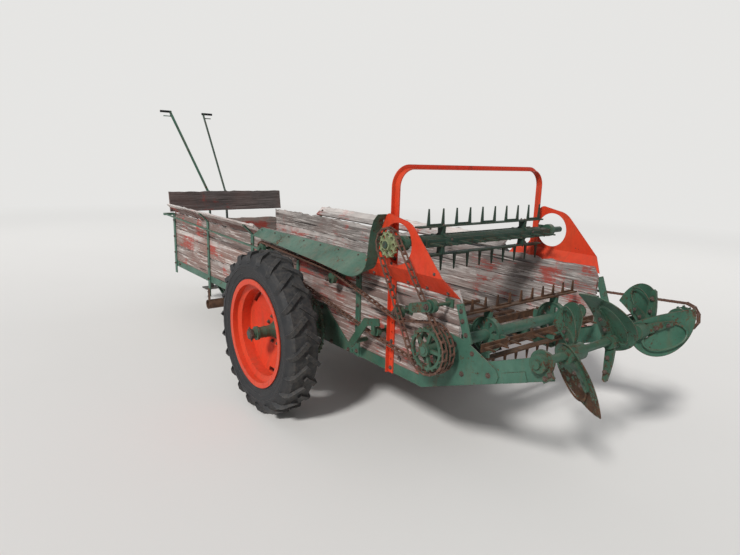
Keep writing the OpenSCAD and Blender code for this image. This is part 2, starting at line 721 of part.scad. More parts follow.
module tyre_left() color("dimgray") tyre(1);
module tyre_right() color("dimgray") tyre(-1);
module rim_left() color("orangered") rim(1);
module rim_right() color("orangered") rim(-1);
module hub_left() color("seagreen") hub(1);
module hub_right() color("seagreen") hub(-1);

// Rotors

// A bar r from its shaft, with pairs of teeth bent from one strip and shifted along it
module tooth_bar(len, r, tooth, w, pairs, shift) {
    translate([-len / 2, -w / 2, r - 8]) cube([len, w, 8]);
    q = len / pairs / 4;
    for (i = [0 : pairs - 1]) translate([len * ((i + 0.5) / pairs - 0.5) + shift, -4, r])
        rotate([90, 0, 0]) mirror([0, 0, 1]) linear_extrude(8) polygon([
            [-q - 10, -2], [q + 10, -2], [q + 10, 8], [q + 3, tooth], [q - 1, tooth], [q - 9, 9],
            [9 - q, 9], [1 - q, tooth], [-q - 3, tooth], [-q - 10, 8]]);
}

// A cast spider: a disc with drop-shaped windows, or a plain boss, and an arm to each bar
module spider(r, disc, w) {
    side_plate(-w / 2, w) difference() {
        union() {
            circle(disc);
            for (a = [0 : 90 : 270]) rotate(a) polygon([[-18, 0], [18, 0], [24, r - 4], [-24, r - 4]]);
        }
        if (disc > 80) for (a = [22.5 : 45 : 337.5]) rotate(a) {
            translate([62, 0]) circle(11);
            polygon([[36, 0], [58, 10], [58, -10]]);
        }
    }
    if (disc > 80) side_plate(-w, 2 * w) difference() {
        circle(disc);
        circle(disc - 6);
    }
}

module beater(y, z, r, len, tooth, disc, spider_x, reach) about_axle() translate([0, y, z]) {
    pairs = 5;
    cross_bar(0, 0, -reach, reach, shaft_r);
    cross_bar(0, 0, -len / 2 + 20, len / 2 - 20, shaft_r + 10);
    for (a = [0 : 3]) rotate([90 * a, 0, 0])
        tooth_bar(len, r, tooth, 40, pairs, (a % 2 - 0.5) * len / pairs / 4);
    for (x = [-spider_x, spider_x]) translate([x, 0, 0]) spider(r, disc, 16);
}

module upper_beater() color("darkslategray")
    beater(upper_y, upper_z, upper_bar_r, upper_len, upper_tooth, 42, inner - 221, upper_x + 25);
module lower_beater() color("saddlebrown")
    beater(lower_y, lower_z, lower_bar_r, lower_len, lower_tooth, 94, inner - 281, upper_x + 25);

module upper_sprocket() color("darkkhaki") about_axle() translate([0, upper_y, upper_z]) difference() {
    union() {
        sprocket(upper_teeth, upper_x, 14, 8, 28);
        cross_bar(0, 0, upper_x - 20, upper_x + 20, 28);
    }
    cross_bar(0, 0, 400, 900, shaft_r + 0.02);
}

module lower_sprockets() color("seagreen") about_axle() translate([0, lower_y, lower_z]) difference() {
    union() {
        sprocket(lower_teeth, upper_x);
        sprocket(lower_teeth, main_x);
        cross_bar(0, 0, main_x - 12, upper_x + 22, 32);
        sprocket(lower_teeth, -main_x);
        cross_bar(0, 0, -main_x - 20, -main_x + 12, 32);
    }
    cross_bar(0, 0, -900, 900, shaft_r + 0.02);
}

// Arms of the distributor: place of the hub as a share of hub_x, angle round the shaft, lean along
// it, turn about its own length, side of the bulge, and how far its paddle reaches back past the
// shaft (0 where the paddle is gone)
hub_x = inner - 163;
ARMS = [
    [1, -72, -22, 30, -1, paddle_foot], [0.9, 160, -40, 0, -1, -60],
    [0.16, 97, 37, 0, -1, paddle_foot], [0.16, -83, 20, 0, 1, 0],
    [-0.43, 24, -60, 20, -1, paddle_foot],
    [-0.7, 90, 0, 0, 1, 0], [-0.7, 155, -35, 0, -1, -60]];

module at_arm(a) translate([a[0] * hub_x, 0, 0]) rotate([a[1], 0, 0]) rotate([0, 0, -a[2]])
    rotate([0, a[3], 0]) scale([1, 1, a[4]]) children();

// A D-shaped outline from its foot on, set in by d, and the middle of its round side
round_r = (pow((paddle_r + paddle_foot) / 2, 2) + paddle_w * paddle_w) / (2 * paddle_w);
dish_at = [(paddle_r - paddle_foot) / 2, paddle_w - 50 - round_r];
module paddle_outline(foot, d) intersection() {
    translate([d - foot, d - 50]) square([paddle_r + foot, paddle_w]);
    translate(dish_at) circle(round_r - d);
}

// What of an outline lies between t0 and t1 inside the hollow's surface
module dished(t0, t1) intersection() {
    side_plate(-60, 120) children();
    translate([dish_r - 14, dish_at[0], dish_at[1]]) difference() {
        sphere(dish_r - t0, $fn = 240);
        sphere(dish_r - t1, $fn = 240);
    }
}

module distributor() color("seagreen") about_axle() translate([0, dist_y, dist_z]) {
    cross_bar(0, 0, -(main_x + 30), box_half + boss_len + 12, shaft_r);
    for (a = ARMS) {
        cross_bar(0, 0, a[0] * hub_x - 35, a[0] * hub_x + 35, shaft_r + 20);
        at_arm(a) dished(fit, 16) polygon([[0, -24], [paddle_r * 0.35, -20], [paddle_r * 0.62, -11],
            [paddle_r * 0.65, 0], [paddle_r * 0.62, 11], [paddle_r * 0.35, 20], [0, 24]]);
    }
    sprocket(dist_teeth, -main_x, 14, 6, 26);
}

module paddles() color("mediumseagreen") about_axle() translate([0, dist_y, dist_z]) difference() {
    for (a = ARMS) if (a[5] != 0) at_arm(a) {
        dished(-5, 0) paddle_outline(a[5], 0);
        dished(-8, -4) difference() {
            paddle_outline(a[5], 36);
            paddle_outline(a[5], 48);
        }
    }
    cross_bar(0, 0, -inner, inner, shaft_r + 20 + fit);
}

// Apron and its drive

apron_t = 8;
slats = 12;
apron_r = floor_h / 2 - 17;
apron_z = floor_top - apron_r;
apron_shaft_r = 16;
front_shaft_y = -box_front + board_t + apron_r + apron_t + clear;
rear_shaft_y = 840;

module apron() color("sienna") about_axle() {
    for (x = [-inner + 81, inner - 101]) side_plate(x, 20) difference() {
        union() {
            translate([front_shaft_y, apron_z - apron_r - apron_t])
                square([rear_shaft_y - front_shaft_y, 2 * (apron_r + apron_t)]);
            for (y = [front_shaft_y, rear_shaft_y]) translate([y, apron_z]) circle(apron_r + apron_t);
        }
        translate([front_shaft_y, apron_z - apron_r])
            square([rear_shaft_y - front_shaft_y, 2 * apron_r]);
        for (y = [front_shaft_y, rear_shaft_y]) translate([y, apron_z]) circle(apron_r);
    }
    for (i = [0 : slats - 1], z = [apron_r + apron_t, -apron_r - apron_t - 14])
        translate([-inner + 41, front_shaft_y + i * 300, apron_z + z]) cube([2 * (inner - 41), 25, 14]);
    for (y = [front_shaft_y, rear_shaft_y]) cross_bar(y, apron_z, -inner + fit, inner - fit, apron_shaft_r);
}

module feed_ratchet() color("darkolivegreen") about_axle() {
    cross_bar(rear_shaft_y, apron_z, -(box_half + 60), -inner, apron_shaft_r);
    cross_bar(rear_shaft_y, apron_z, -(box_half + 52), -(box_half + 36), 90);
}

rod_x = main_x + chain_w / 2 + clear;
rod_t = 12;
rod_front = [rod_x + rod_t / 2, -2670, board_top - 15];

module control_rod() color("seagreen") about_axle() {
    difference() {
        union() {
            rail(rod_front, [rod_x + rod_t / 2, front_idler[0], front_idler[1]], rod_t, rod_t);
            cross_bar(front_idler[0], front_idler[1], rod_x, rod_x + rod_t, 17);
        }
        cross_bar(front_idler[0], front_idler[1], rod_x - 1, rod_x + rod_t + 1, 9 + fit);
    }
    translate([box_half + 8, -2690, board_top - 30]) cube([rod_x + rod_t - box_half - 8, 28, 22]);
}

lever_y = -box_front - 110;
lever_z = sill_z + 240;
lever_t = 12;
lever_pin_r = 8;
clutch_x = 153;
feed_x = -37;

// A toothed quadrant beside each lever, on an arm from the front panel
quadrant_r = 210;
module lever_rack() color("firebrick") about_axle() for (x = [clutch_x, feed_x]) {
    x0 = x - lever_t / 2 - clear - 10;
    translate([x0, -box_front - 150, lever_z - 60]) cube([10, 150, 120]);
    translate([x0, lever_y, lever_z]) side_plate(0, 10) difference() {
        polygon(concat([[-30, 0]], arc([0, 0], quadrant_r, 118, 76, 12), [[30, 0]]));
        for (a = [80 : 4 : 114]) rotate(a) translate([quadrant_r, 0]) circle(4);
    }
    cross_bar(lever_y, lever_z, x - lever_t / 2 - clear - 1, x + lever_t / 2 + 10, lever_pin_r);
}

// A flat lever bent forward at its middle, with a sideways grip, its trigger and latch rod
module lever(x, lean, way) about_axle() translate([x, lever_y, lever_z]) {
    bend = [0, -38, 478];
    top = [lean, -600, 1330];
    difference() {
        side_plate(-lever_t / 2, lever_t) {
            circle(26);
            strip([0, 0], [-40, 505], 34);
        }
        cross_bar(0, 0, -20, 20, lever_pin_r + run_fit);
    }
    rail(bend, top, 28, lever_t - 3);
    translate(top) scale([way, 1, 1]) {
        cross_bar(0, -2, -14, 105, 12);
        cross_bar(22, -50, 0, 80, 5);
        translate([0, 17, -56]) cube([8, 10, 60]);
    }
    rail(bend + [0, 28, -30], top + [0, 24, -44], 7, 7);
    translate(bend + [-3.5, 8, -36]) cube([7, 24, 12]);
}

module clutch_lever() color("seagreen") lever(clutch_x, 190, 1);
module feed_lever() color("darkslategray") lever(feed_x, 10, -1);

sills();
axle_brackets();
gussets();
cross_members();
front_pipe();
drawbar();
hitch();
stand_mount();
floor_boards();
side_boards();
front_panel();
flare_boards();
front_flare();
stakes();
arch();
shields();
chain_guard();
bearings();
main_chain();
upper_chain();
distributor_chain();
idlers();
apron();
feed_ratchet();
control_rod();
lever_rack();
stand();
axle();
axle_sprocket();
tyre_left();
rim_left();
hub_left();
tyre_right();
rim_right();
hub_right();
upper_beater();
upper_sprocket();
lower_beater();
lower_sprockets();
distributor();
paddles();
clutch_lever();
feed_lever();
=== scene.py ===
import bpy
import json
import math
from mathutils import Matrix, Vector


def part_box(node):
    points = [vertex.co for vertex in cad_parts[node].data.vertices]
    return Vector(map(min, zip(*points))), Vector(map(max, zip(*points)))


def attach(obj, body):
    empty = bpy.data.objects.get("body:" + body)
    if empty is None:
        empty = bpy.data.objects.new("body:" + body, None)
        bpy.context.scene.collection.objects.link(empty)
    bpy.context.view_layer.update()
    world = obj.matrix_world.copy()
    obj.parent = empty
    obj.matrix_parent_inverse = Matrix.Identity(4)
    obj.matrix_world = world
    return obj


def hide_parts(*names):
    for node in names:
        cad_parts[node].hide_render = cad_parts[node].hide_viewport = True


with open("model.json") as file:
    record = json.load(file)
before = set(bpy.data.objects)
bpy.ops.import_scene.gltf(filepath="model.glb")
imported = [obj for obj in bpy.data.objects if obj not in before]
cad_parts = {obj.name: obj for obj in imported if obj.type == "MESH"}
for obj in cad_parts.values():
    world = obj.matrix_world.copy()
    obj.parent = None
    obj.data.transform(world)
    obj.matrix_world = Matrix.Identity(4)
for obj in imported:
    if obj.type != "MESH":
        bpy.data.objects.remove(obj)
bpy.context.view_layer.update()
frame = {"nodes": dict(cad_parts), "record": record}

bpy.ops.object.select_all(action="DESELECT")
axleMid = sum(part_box("axle"), Vector()) / 2
axleHeight = 0.5

# The shafts behind the axle: place aft of it, and height
upperShaft = (0.860, 1.140)
lowerShaft = (1.165, 0.690)
rearShaft = (1.7104, 0.77495)


# A place measured from the axle backwards, as the machine's own plan does
def at(x, y, z):
    return Vector((x, axleMid.y + y, z))


# Inputs are values or other nodes' sockets
def addNode(tree, kind, inputs=None, **settings):
    made = tree.nodes.new("ShaderNode" + kind)
    for key, value in settings.items():
        setattr(made, key, value)
    for key, value in (inputs or {}).items():
        if isinstance(value, bpy.types.NodeSocket):
            tree.links.new(value, made.inputs[key])
        else:
            made.inputs[key].default_value = value
    return made


def maths(tree, operation, a, b=0.0):
    return addNode(tree, "Math", {0: a, 1: b}, operation=operation).outputs[0]


def times(tree, a, b):
    return maths(tree, "MULTIPLY", a, b)


def plus(tree, a, b):
    return maths(tree, "ADD", a, b)


def objectPlace(tree):
    return addNode(tree, "TexCoord").outputs["Object"]


def noise(tree, place, scale, detail=4.0, roughness=0.6, distortion=0.0):
    return addNode(tree, "TexNoise", {"Vector": place, "Scale": scale, "Detail": detail,
                                      "Roughness": roughness, "Distortion": distortion}).outputs["Fac"]


# 0 at low, 1 at high and even in between; high may be the smaller of the two
def step(tree, value, low, high):
    return addNode(tree, "MapRange", {"Value": value, "From Min": low, "From Max": high}).outputs[0]


def mix(tree, share, a, b):
    made = addNode(tree, "Mix", data_type="RGBA")
    for socket, value in ((made.inputs[0], share), (made.inputs[6], a), (made.inputs[7], b)):
        if isinstance(value, bpy.types.NodeSocket):
            tree.links.new(value, socket)
        elif isinstance(value, tuple):
            socket.default_value = (*value, 1)
        else:
            socket.default_value = value
    return made.outputs[2]


# 1 along an edge that stands out and 0 on the flat, from normals rounded over a short radius
def edgeWear(tree, radius):
    rounded = addNode(tree, "Bevel", {"Radius": radius}, samples=4)
    flat = addNode(tree, "NewGeometry")
    alike = addNode(tree, "VectorMath", {0: rounded.outputs[0], 1: flat.outputs["Normal"]},
                    operation="DOT_PRODUCT").outputs["Value"]
    return step(tree, alike, 0.98, 0.78)


def facingUp(tree):
    flat = addNode(tree, "NewGeometry")
    return addNode(tree, "SeparateXYZ", {0: flat.outputs["Normal"]}).outputs[2]


# Distance from a line along X through a point
def fromLine(tree, place, centre):
    parts = addNode(tree, "SeparateXYZ", {0: place}).outputs
    spoke = addNode(tree, "CombineXYZ", {1: maths(tree, "SUBTRACT", parts[1], centre[1]),
                                         2: maths(tree, "SUBTRACT", parts[2], centre[2])}).outputs[0]
    return addNode(tree, "VectorMath", {0: spoke}, operation="LENGTH").outputs["Value"]


def darker(colour, share):
    return tuple(share * c for c in colour)


def startMaterial(name):
    material = bpy.data.materials.new(name)
    material.use_nodes = True
    material.node_tree.nodes.clear()
    return material, material.node_tree


def finishMaterial(tree, colour, roughness, height, strength, depth, shine=0.5):
    bump = addNode(tree, "Bump", {"Height": height, "Strength": strength, "Distance": depth})
    shader = addNode(tree, "BsdfPrincipled", {"Base Color": colour, "Roughness": roughness,
                                              "Specular IOR Level": shine, "Normal": bump.outputs[0]})
    addNode(tree, "OutputMaterial", {"Surface": shader.outputs[0]})


rust = {"dark": (0.036, 0.020, 0.013), "bright": (0.135, 0.062, 0.031), "dust": (0.30, 0.24, 0.18)}


def rustColour(tree, place):
    blotches = step(tree, noise(tree, place, 22, 6, 0.65), 0.35, 0.7)
    return mix(tree, blotches, rust["dark"], rust["bright"])


# Fresh and faded paint, how much noise it takes to chip it, and the dust on what faces up
paints = {
    "frame_green": {"fresh": (0.025, 0.083, 0.055), "faded": (0.085, 0.180, 0.130),
                    "chips": 0.565, "dust": 0.35},
    "cast_green": {"fresh": (0.022, 0.070, 0.044), "faded": (0.065, 0.135, 0.090),
                   "chips": 0.535, "dust": 0.3},
    "beater_green": {"fresh": (0.016, 0.042, 0.030), "faded": (0.036, 0.074, 0.052),
                     "chips": 0.575, "dust": 0.25},
    "paddle_green": {"fresh": (0.026, 0.090, 0.058), "faded": (0.070, 0.165, 0.110),
                     "chips": 0.55, "dust": 0.25},
    "pale_green": {"fresh": (0.17, 0.22, 0.10), "faded": (0.27, 0.31, 0.17),
                   "chips": 0.55, "dust": 0.25},
    "dark_steel": {"fresh": (0.035, 0.04, 0.038), "faded": (0.07, 0.075, 0.065),
                   "chips": 0.56, "dust": 0.35},
    "bright_red": {"fresh": (0.64, 0.036, 0.012), "faded": (0.64, 0.070, 0.026),
                   "chips": 0.615, "dust": 0.15},
    "dull_red": {"fresh": (0.30, 0.03, 0.02), "faded": (0.36, 0.07, 0.04),
                 "chips": 0.59, "dust": 0.35}}

# The rubber on a lever's grip, whole up to one distance from its middle line and gone at the other
gripRubber = {"whole": 0.0125, "gone": 0.0150, "colour": (0.012, 0.012, 0.012), "roughness": 0.7}


# Scales of the noise in all paints, shares of what it mixes in, and the depth of its bumps
paintWear = {"fadeScale": 3.2, "mottleScale": 48, "mottle": 0.35, "runs": (30.0, 30.0, 2.5), "streaks": 0.4,
             "fleckScale": 75, "patchScale": 7, "edges": 0.15, "chipSpread": 0.03, "dustScale": 9,
             "grainScale": 320, "grain": 0.25, "chipDepth": -0.5, "depth": 0.0012, "shine": 0.3}


# Faded paint over steel: chipped to rust at random and along edges, dusty on top, with rubber
# round the line grip where there is one, and more bare metal where stripped says so
def paintedMetal(name, paint, edge=0.003, gloss=0.42, grip=None, stripped=None):
    material, tree = startMaterial(name)
    place = objectPlace(tree)
    faded, wear = paint["faded"], paintWear
    fade = step(tree, noise(tree, place, wear["fadeScale"], 5, 0.7), 0.3, 0.72)
    colour = mix(tree, fade, paint["fresh"], faded)
    mottle = step(tree, noise(tree, place, wear["mottleScale"], 6, 0.7), 0.45, 0.8)
    colour = mix(tree, times(tree, mottle, wear["mottle"]), colour, darker(faded, 0.45))
    runs = addNode(tree, "Mapping", {"Vector": place, "Scale": wear["runs"]}).outputs[0]
    streaks = step(tree, noise(tree, runs, 1.0, 5, 0.65), 0.52, 0.78)
    colour = mix(tree, times(tree, streaks, wear["streaks"]), colour, rust["bright"])
    flecks = noise(tree, place, wear["fleckScale"], 8, 0.75)
    patches = noise(tree, place, wear["patchScale"], 6, 0.7)
    worn = plus(tree, times(tree, flecks, 0.5), times(tree, patches, 0.5))
    worn = plus(tree, worn, times(tree, edgeWear(tree, edge), wear["edges"]))
    if stripped:
        worn = plus(tree, worn, stripped(tree, place))
    bare = step(tree, worn, paint["chips"], paint["chips"] + wear["chipSpread"])
    colour = mix(tree, bare, colour, rustColour(tree, place))
    settled = step(tree, facingUp(tree), 0.25, 0.95)
    patchy = step(tree, noise(tree, place, wear["dustScale"], 6, 0.7), 0.35, 0.75)
    settled = times(tree, settled, patchy)
    colour = mix(tree, times(tree, settled, paint["dust"]), colour, rust["dust"])
    rough = plus(tree, times(tree, bare, 0.4), gloss)
    rough = plus(tree, rough, times(tree, mottle, 0.15))
    grain = plus(tree, times(tree, noise(tree, place, wear["grainScale"], 4, 0.6), wear["grain"]),
                 times(tree, bare, wear["chipDepth"]))
    if grip:
        rubber = step(tree, fromLine(tree, place, grip), gripRubber["gone"], gripRubber["whole"])
        colour = mix(tree, rubber, colour, gripRubber["colour"])
        rough = maths(tree, "MAXIMUM", rough, times(tree, rubber, gripRubber["roughness"]))
    finishMaterial(tree, colour, rough, grain, 0.5, wear["depth"], wear["shine"])
    return material


# Two tones of rust, and how far the edges are rubbed down to bare iron
irons = {"rusty_steel": {"dark": (0.05, 0.026, 0.016), "light": (0.15, 0.075, 0.04), "polish": 0.3},
         "rusty_iron": {"dark": (0.045, 0.02, 0.013), "light": (0.16, 0.068, 0.037), "polish": 0.5},
         "bolt_iron": {"dark": (0.035, 0.022, 0.018), "light": (0.11, 0.06, 0.04), "polish": 0.6}}
bareIron = (0.26, 0.22, 0.20)
rustWear = {"blotchScale": 30, "flakeScale": 150, "flakes": 0.6, "grainScale": 200, "depth": 0.0015}


# Iron under an uneven coat of rust, rubbed bright along its edges
def rustyMetal(name, iron):
    material, tree = startMaterial(name)
    place = objectPlace(tree)
    dark = iron["dark"]
    blotches = step(tree, noise(tree, place, rustWear["blotchScale"], 8, 0.7), 0.3, 0.72)
    colour = mix(tree, blotches, dark, iron["light"])
    flakes = step(tree, noise(tree, place, rustWear["flakeScale"], 6, 0.7), 0.55, 0.75)
    colour = mix(tree, times(tree, flakes, rustWear["flakes"]), colour, darker(dark, 0.35))
    rubbed = times(tree, edgeWear(tree, 0.002), iron["polish"])
    colour = mix(tree, rubbed, colour, bareIron)
    rough = maths(tree, "SUBTRACT", 0.82, times(tree, rubbed, 0.5))
    grain = noise(tree, place, rustWear["grainScale"], 8, 0.7)
    finishMaterial(tree, colour, rough, grain, 0.6, rustWear["depth"])
    return material


# 1 where a face looks away from the machine's middle
def facingOut(tree, parts):
    normal = addNode(tree, "NewGeometry").outputs["Normal"]
    sideways = addNode(tree, "SeparateXYZ", {0: normal}).outputs[0]
    return step(tree, times(tree, maths(tree, "SIGN", parts[0]), sideways), 0.3, 0.7)


# Weathered planks: grain along one axis, a new tone each plank, torn pale along the plank's upper
# edge, with cracks, the last of a red paint, and a wash of it over the outside
def plankWood(name, look):
    material, tree = startMaterial(name)
    axes = {"X": 0, "Y": 1, "Z": 2}
    grain, across = look["grain"], look["across"]
    pale, grey = look["pale"], look["grey"]
    coords = objectPlace(tree)
    parts = addNode(tree, "SeparateXYZ", {0: coords}).outputs
    fromFirst = maths(tree, "SUBTRACT", parts[axes[across]], look["first"])
    number = maths(tree, "DIVIDE", fromFirst, look["width"])
    tone = addNode(tree, "TexWhiteNoise", {"W": maths(tree, "FLOOR", number)},
                   noise_dimensions="1D").outputs["Value"]
    stretch = [look["fineness"]] * 3
    stretch[axes[grain]] = look["lengthways"]
    shifted = addNode(tree, "CombineXYZ", {axes[grain]: times(tree, tone, 17.0)}).outputs[0]
    place = addNode(tree, "VectorMath", {0: coords, 1: shifted}, operation="ADD").outputs[0]
    along = addNode(tree, "Mapping", {"Vector": place, "Scale": stretch}).outputs[0]
    coarse = noise(tree, along, 1.0, 6, 0.6, 0.4)
    fine = noise(tree, along, 5.0, 8, 0.75, 0.2)
    colour = mix(tree, step(tree, coarse, 0.38, 0.62), grey, pale)
    streaks = times(tree, step(tree, fine, 0.45, 0.60), look["streaks"])
    colour = mix(tree, streaks, colour, darker(grey, 0.45))
    stain = step(tree, noise(tree, place, 1.7, 5, 0.65, 0.5), 0.42, 0.62)
    # The wash on outward faces takes the look's stain colour; for the flare boards that colour is partly
    # painted shade
    washed = times(tree, facingOut(tree, parts), look["wash"])
    washed = times(tree, washed, step(tree, noise(tree, place, 3.0, 6, 0.7, 0.6), 0.25, 0.6))
    stain = maths(tree, "MAXIMUM", times(tree, stain, look["stained"]), washed)
    colour = mix(tree, stain, colour, look["stain"])
    colour = mix(tree, times(tree, tone, look["tones"]), colour, darker(grey, 0.6))
    bleached = addNode(tree, "Mapping", {"Vector": place, "Scale": [2.3 * s for s in stretch]}).outputs[0]
    bleached = step(tree, noise(tree, bleached, 1.0, 8, 0.75, 0.3), 0.53, 0.60)
    colour = mix(tree, times(tree, bleached, look["white"]), colour, darker(pale, 1.35))
    narrow = addNode(tree, "Mapping", {"Vector": place, "Scale": [1.6 * s for s in stretch]}).outputs[0]
    cracks = step(tree, noise(tree, narrow, 1.0, 3, 0.5, 0.1), 0.365, 0.335)
    colour = mix(tree, times(tree, cracks, look["cracked"]), colour, look["crack"])
    patches = noise(tree, place, 2.6, 6, 0.7, 0.3)
    worn = plus(tree, times(tree, patches, 0.62), times(tree, fine, 0.38))
    edge = maths(tree, "SUBTRACT", 1.0, maths(tree, "FRACT", number))
    edge = times(tree, edge, look["width"])
    torn = maths(tree, "SUBTRACT", times(tree, coarse, look["tornDepth"]), edge)
    torn = step(tree, torn, 0.0, 0.008)
    painted = step(tree, worn, look["paintFrom"], look["paintFrom"] + 0.045)
    colour = mix(tree, times(tree, painted, look["cover"]), colour, look["paint"])
    splinters = mix(tree, step(tree, fine, 0.30, 0.55), darker(pale, 0.6), darker(pale, look["splinters"]))
    tornHere = step(tree, noise(tree, place, 1.3, 4, 0.7), look["tornFrom"], 0.60)
    torn = times(tree, torn, tornHere)
    colour = mix(tree, times(tree, torn, 0.85), colour, splinters)
    height = plus(tree, coarse, times(tree, fine, 0.8))
    height = maths(tree, "SUBTRACT", height, cracks)
    height = maths(tree, "SUBTRACT", height, times(tree, torn, 0.5))
    rough = plus(tree, 0.72, times(tree, fine, 0.2))
    finishMaterial(tree, colour, rough, height, 0.9, look["depth"])
    return material


# Rubber's tones; the tread's dust and the sidewall's rings start and are full this far inside the tread
tyreLook = {"dark": (0.012, 0.013, 0.015), "grey": (0.038, 0.037, 0.037), "dust": (0.17, 0.14, 0.11),
            "scuff": (0.24, 0.22, 0.20), "dusty": 0.4, "scuffed": 0.75, "depth": 0.002,
            "treadFrom": 0.07, "treadFull": 0.01, "ringsFrom": 0.09, "ringsFull": 0.12,
            "ringsPerRadius": 700.0}


# Rubber, pale with dust between the lugs and scuffed along their edges
def tyreRubber(name, centre, treadRadius, look):
    material, tree = startMaterial(name)
    place = objectPlace(tree)
    radius = fromLine(tree, place, centre)
    tread = step(tree, radius, treadRadius - look["treadFrom"], treadRadius - look["treadFull"])
    dirt = step(tree, noise(tree, place, 14, 7, 0.7), 0.35, 0.75)
    colour = mix(tree, dirt, look["dark"], look["grey"])
    dusty = times(tree, tread, step(tree, noise(tree, place, 38, 8, 0.75), 0.42, 0.7))
    colour = mix(tree, times(tree, dusty, look["dusty"]), colour, look["dust"])
    scuff = times(tree, edgeWear(tree, 0.003), step(tree, noise(tree, place, 60, 6, 0.7), 0.35, 0.7))
    colour = mix(tree, times(tree, scuff, look["scuffed"]), colour, look["scuff"])
    rings = maths(tree, "SINE", times(tree, radius, look["ringsPerRadius"]))
    sidewall = step(tree, radius, treadRadius - look["ringsFrom"], treadRadius - look["ringsFull"])
    rings = times(tree, rings, sidewall)
    height = plus(tree, noise(tree, place, 180, 6, 0.7), times(tree, rings, 0.5))
    rough = plus(tree, 0.62, times(tree, dirt, 0.25))
    finishMaterial(tree, colour, rough, height, 0.35, look["depth"])
    return material


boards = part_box("side_boards")
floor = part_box("floor_boards")
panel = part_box("front_panel")
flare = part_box("front_flare")
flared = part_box("flare_boards")
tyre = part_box("tyre_left")
wheelCentre = (tyre[0] + tyre[1]) / 2
tyreRadius = (tyre[1].z - tyre[0].z) / 2
sidePlanks = 3
plankHeight = 0.490 / sidePlanks

# Tones, way of the grain and across it, where the planks start and how wide they are, how much of
# the paint is left, and where the upper edges are torn. A side's width is a hair over its planks'
# height, so that its top edge keeps the tone of its plank.
sideWood = {"pale": (0.53, 0.49, 0.455), "grey": (0.215, 0.185, 0.168), "crack": (0.03, 0.022, 0.018),
            "grain": "Y", "across": "Z", "fineness": 26.0, "lengthways": 1.1, "depth": 0.004,
            "first": boards[0].z, "width": 0.1634, "tones": 0.55, "streaks": 0.75, "cracked": 0.85,
            "paint": (0.36, 0.042, 0.026), "paintFrom": 0.522, "cover": 0.85,
            "stain": (0.235, 0.105, 0.075), "stained": 0.35, "wash": 0.8,
            "white": 0.75, "splinters": 1.2, "tornFrom": 0.45, "tornDepth": 0.09}
# The flare boards' stain, washed over nearly all of their outward faces, is a darker red-brown than the
# sides' stain: part real red-brown paint, part painted shade, since these faces lean down and away from the
# light
shadedEdgeWood = sideWood | {"first": 2 * flared[0].z - flared[1].z, "width": flared[1].z - flared[0].z,
                       "wash": 0.95, "stain": (0.125, 0.034, 0.022), "stained": 0.4, "white": 0.25,
                       "splinters": 1.5, "tornFrom": 0.2}
floorWood = sideWood | {"pale": (0.36, 0.31, 0.27), "across": "X", "first": floor[0].x,
                        "width": (floor[1].x - floor[0].x) / 8, "paintFrom": 0.64, "stained": 0.3}
panelWood = sideWood | {"pale": (0.30, 0.25, 0.22), "grain": "X", "first": panel[0].z, "width": 0.15}
flareWood = sideWood | {"pale": (0.185, 0.155, 0.145), "grey": (0.080, 0.062, 0.058), "grain": "X",
                        "first": flare[0].z, "width": 0.3, "white": 0.3, "paintFrom": 0.60,
                        "cover": 0.5, "stained": 0.3}

# Middle lines of the levers' grips
grips = {"clutch_lever": at(0.343, -3.41, 1.988), "feed_lever": at(-0.027, -3.41, 1.988)}

finishes = {slot: paintedMetal(slot, paints[slot]) for slot in
            ("frame_green", "cast_green", "beater_green", "dark_steel", "bright_red", "dull_red")}
finishes |= {
    "rusty_steel": rustyMetal("rusty_steel", irons["rusty_steel"]),
    "rusty_iron": rustyMetal("rusty_iron", irons["rusty_iron"]),
    "weathered_wood": plankWood("weathered_wood", sideWood),
    "dark_wood": plankWood("dark_wood", flareWood),
    "tyre": tyreRubber("tyre", wheelCentre, tyreRadius, tyreLook)}


# The lower beater keeps its paint on the cast spiders, and its bars are bare: distances from the shaft
barRust = {"from": 0.122, "full": 0.128, "share": 0.22}

# The lowest paddle, nearest the left side, has rusted nearly all over: heights, and places across
paddleRust = {"heightFrom": 0.74, "heightFull": 0.62, "sideFrom": 0.20, "sideFull": 0.26, "share": 0.10}


def bareBars(tree, place):
    bars = step(tree, fromLine(tree, place, at(0, *lowerShaft)), barRust["from"], barRust["full"])
    return times(tree, bars, barRust["share"])


def rustedPaddle(tree, place):
    parts = addNode(tree, "SeparateXYZ", {0: place}).outputs
    low = step(tree, parts[2], paddleRust["heightFrom"], paddleRust["heightFull"])
    near = step(tree, parts[0], paddleRust["sideFrom"], paddleRust["sideFull"])
    return times(tree, times(tree, low, near), paddleRust["share"])


special = {
    "floor_boards": plankWood("floor_wood", floorWood), "front_panel": plankWood("panel_wood", panelWood),
    "flare_boards": plankWood("edge_wood", shadedEdgeWood),
    "upper_sprocket": paintedMetal("pale_green", paints["pale_green"]),
    "paddles": paintedMetal("paddle_green", paints["paddle_green"], edge=0.006, stripped=rustedPaddle),
    "lower_beater": paintedMetal("spider_green", paints["frame_green"], stripped=bareBars),
    "clutch_lever": paintedMetal("clutch_lever_green", paints["frame_green"], grip=grips["clutch_lever"]),
    "feed_lever": paintedMetal("feed_lever_green", paints["beater_green"], grip=grips["feed_lever"])}
boltIron = rustyMetal("bolt_iron", irons["bolt_iron"])

for part in frame["record"]["subparts"]:
    for slot in frame["nodes"][part["node"]].material_slots:
        slot.material = special.get(part["node"], finishes[part["material_slot"]])
print("materials")


# Selects these objects alone, with the first one active
def pick(*objects):
    bpy.ops.object.select_all(action="DESELECT")
    for obj in objects:
        obj.select_set(True)
    bpy.context.view_layer.objects.active = objects[0]


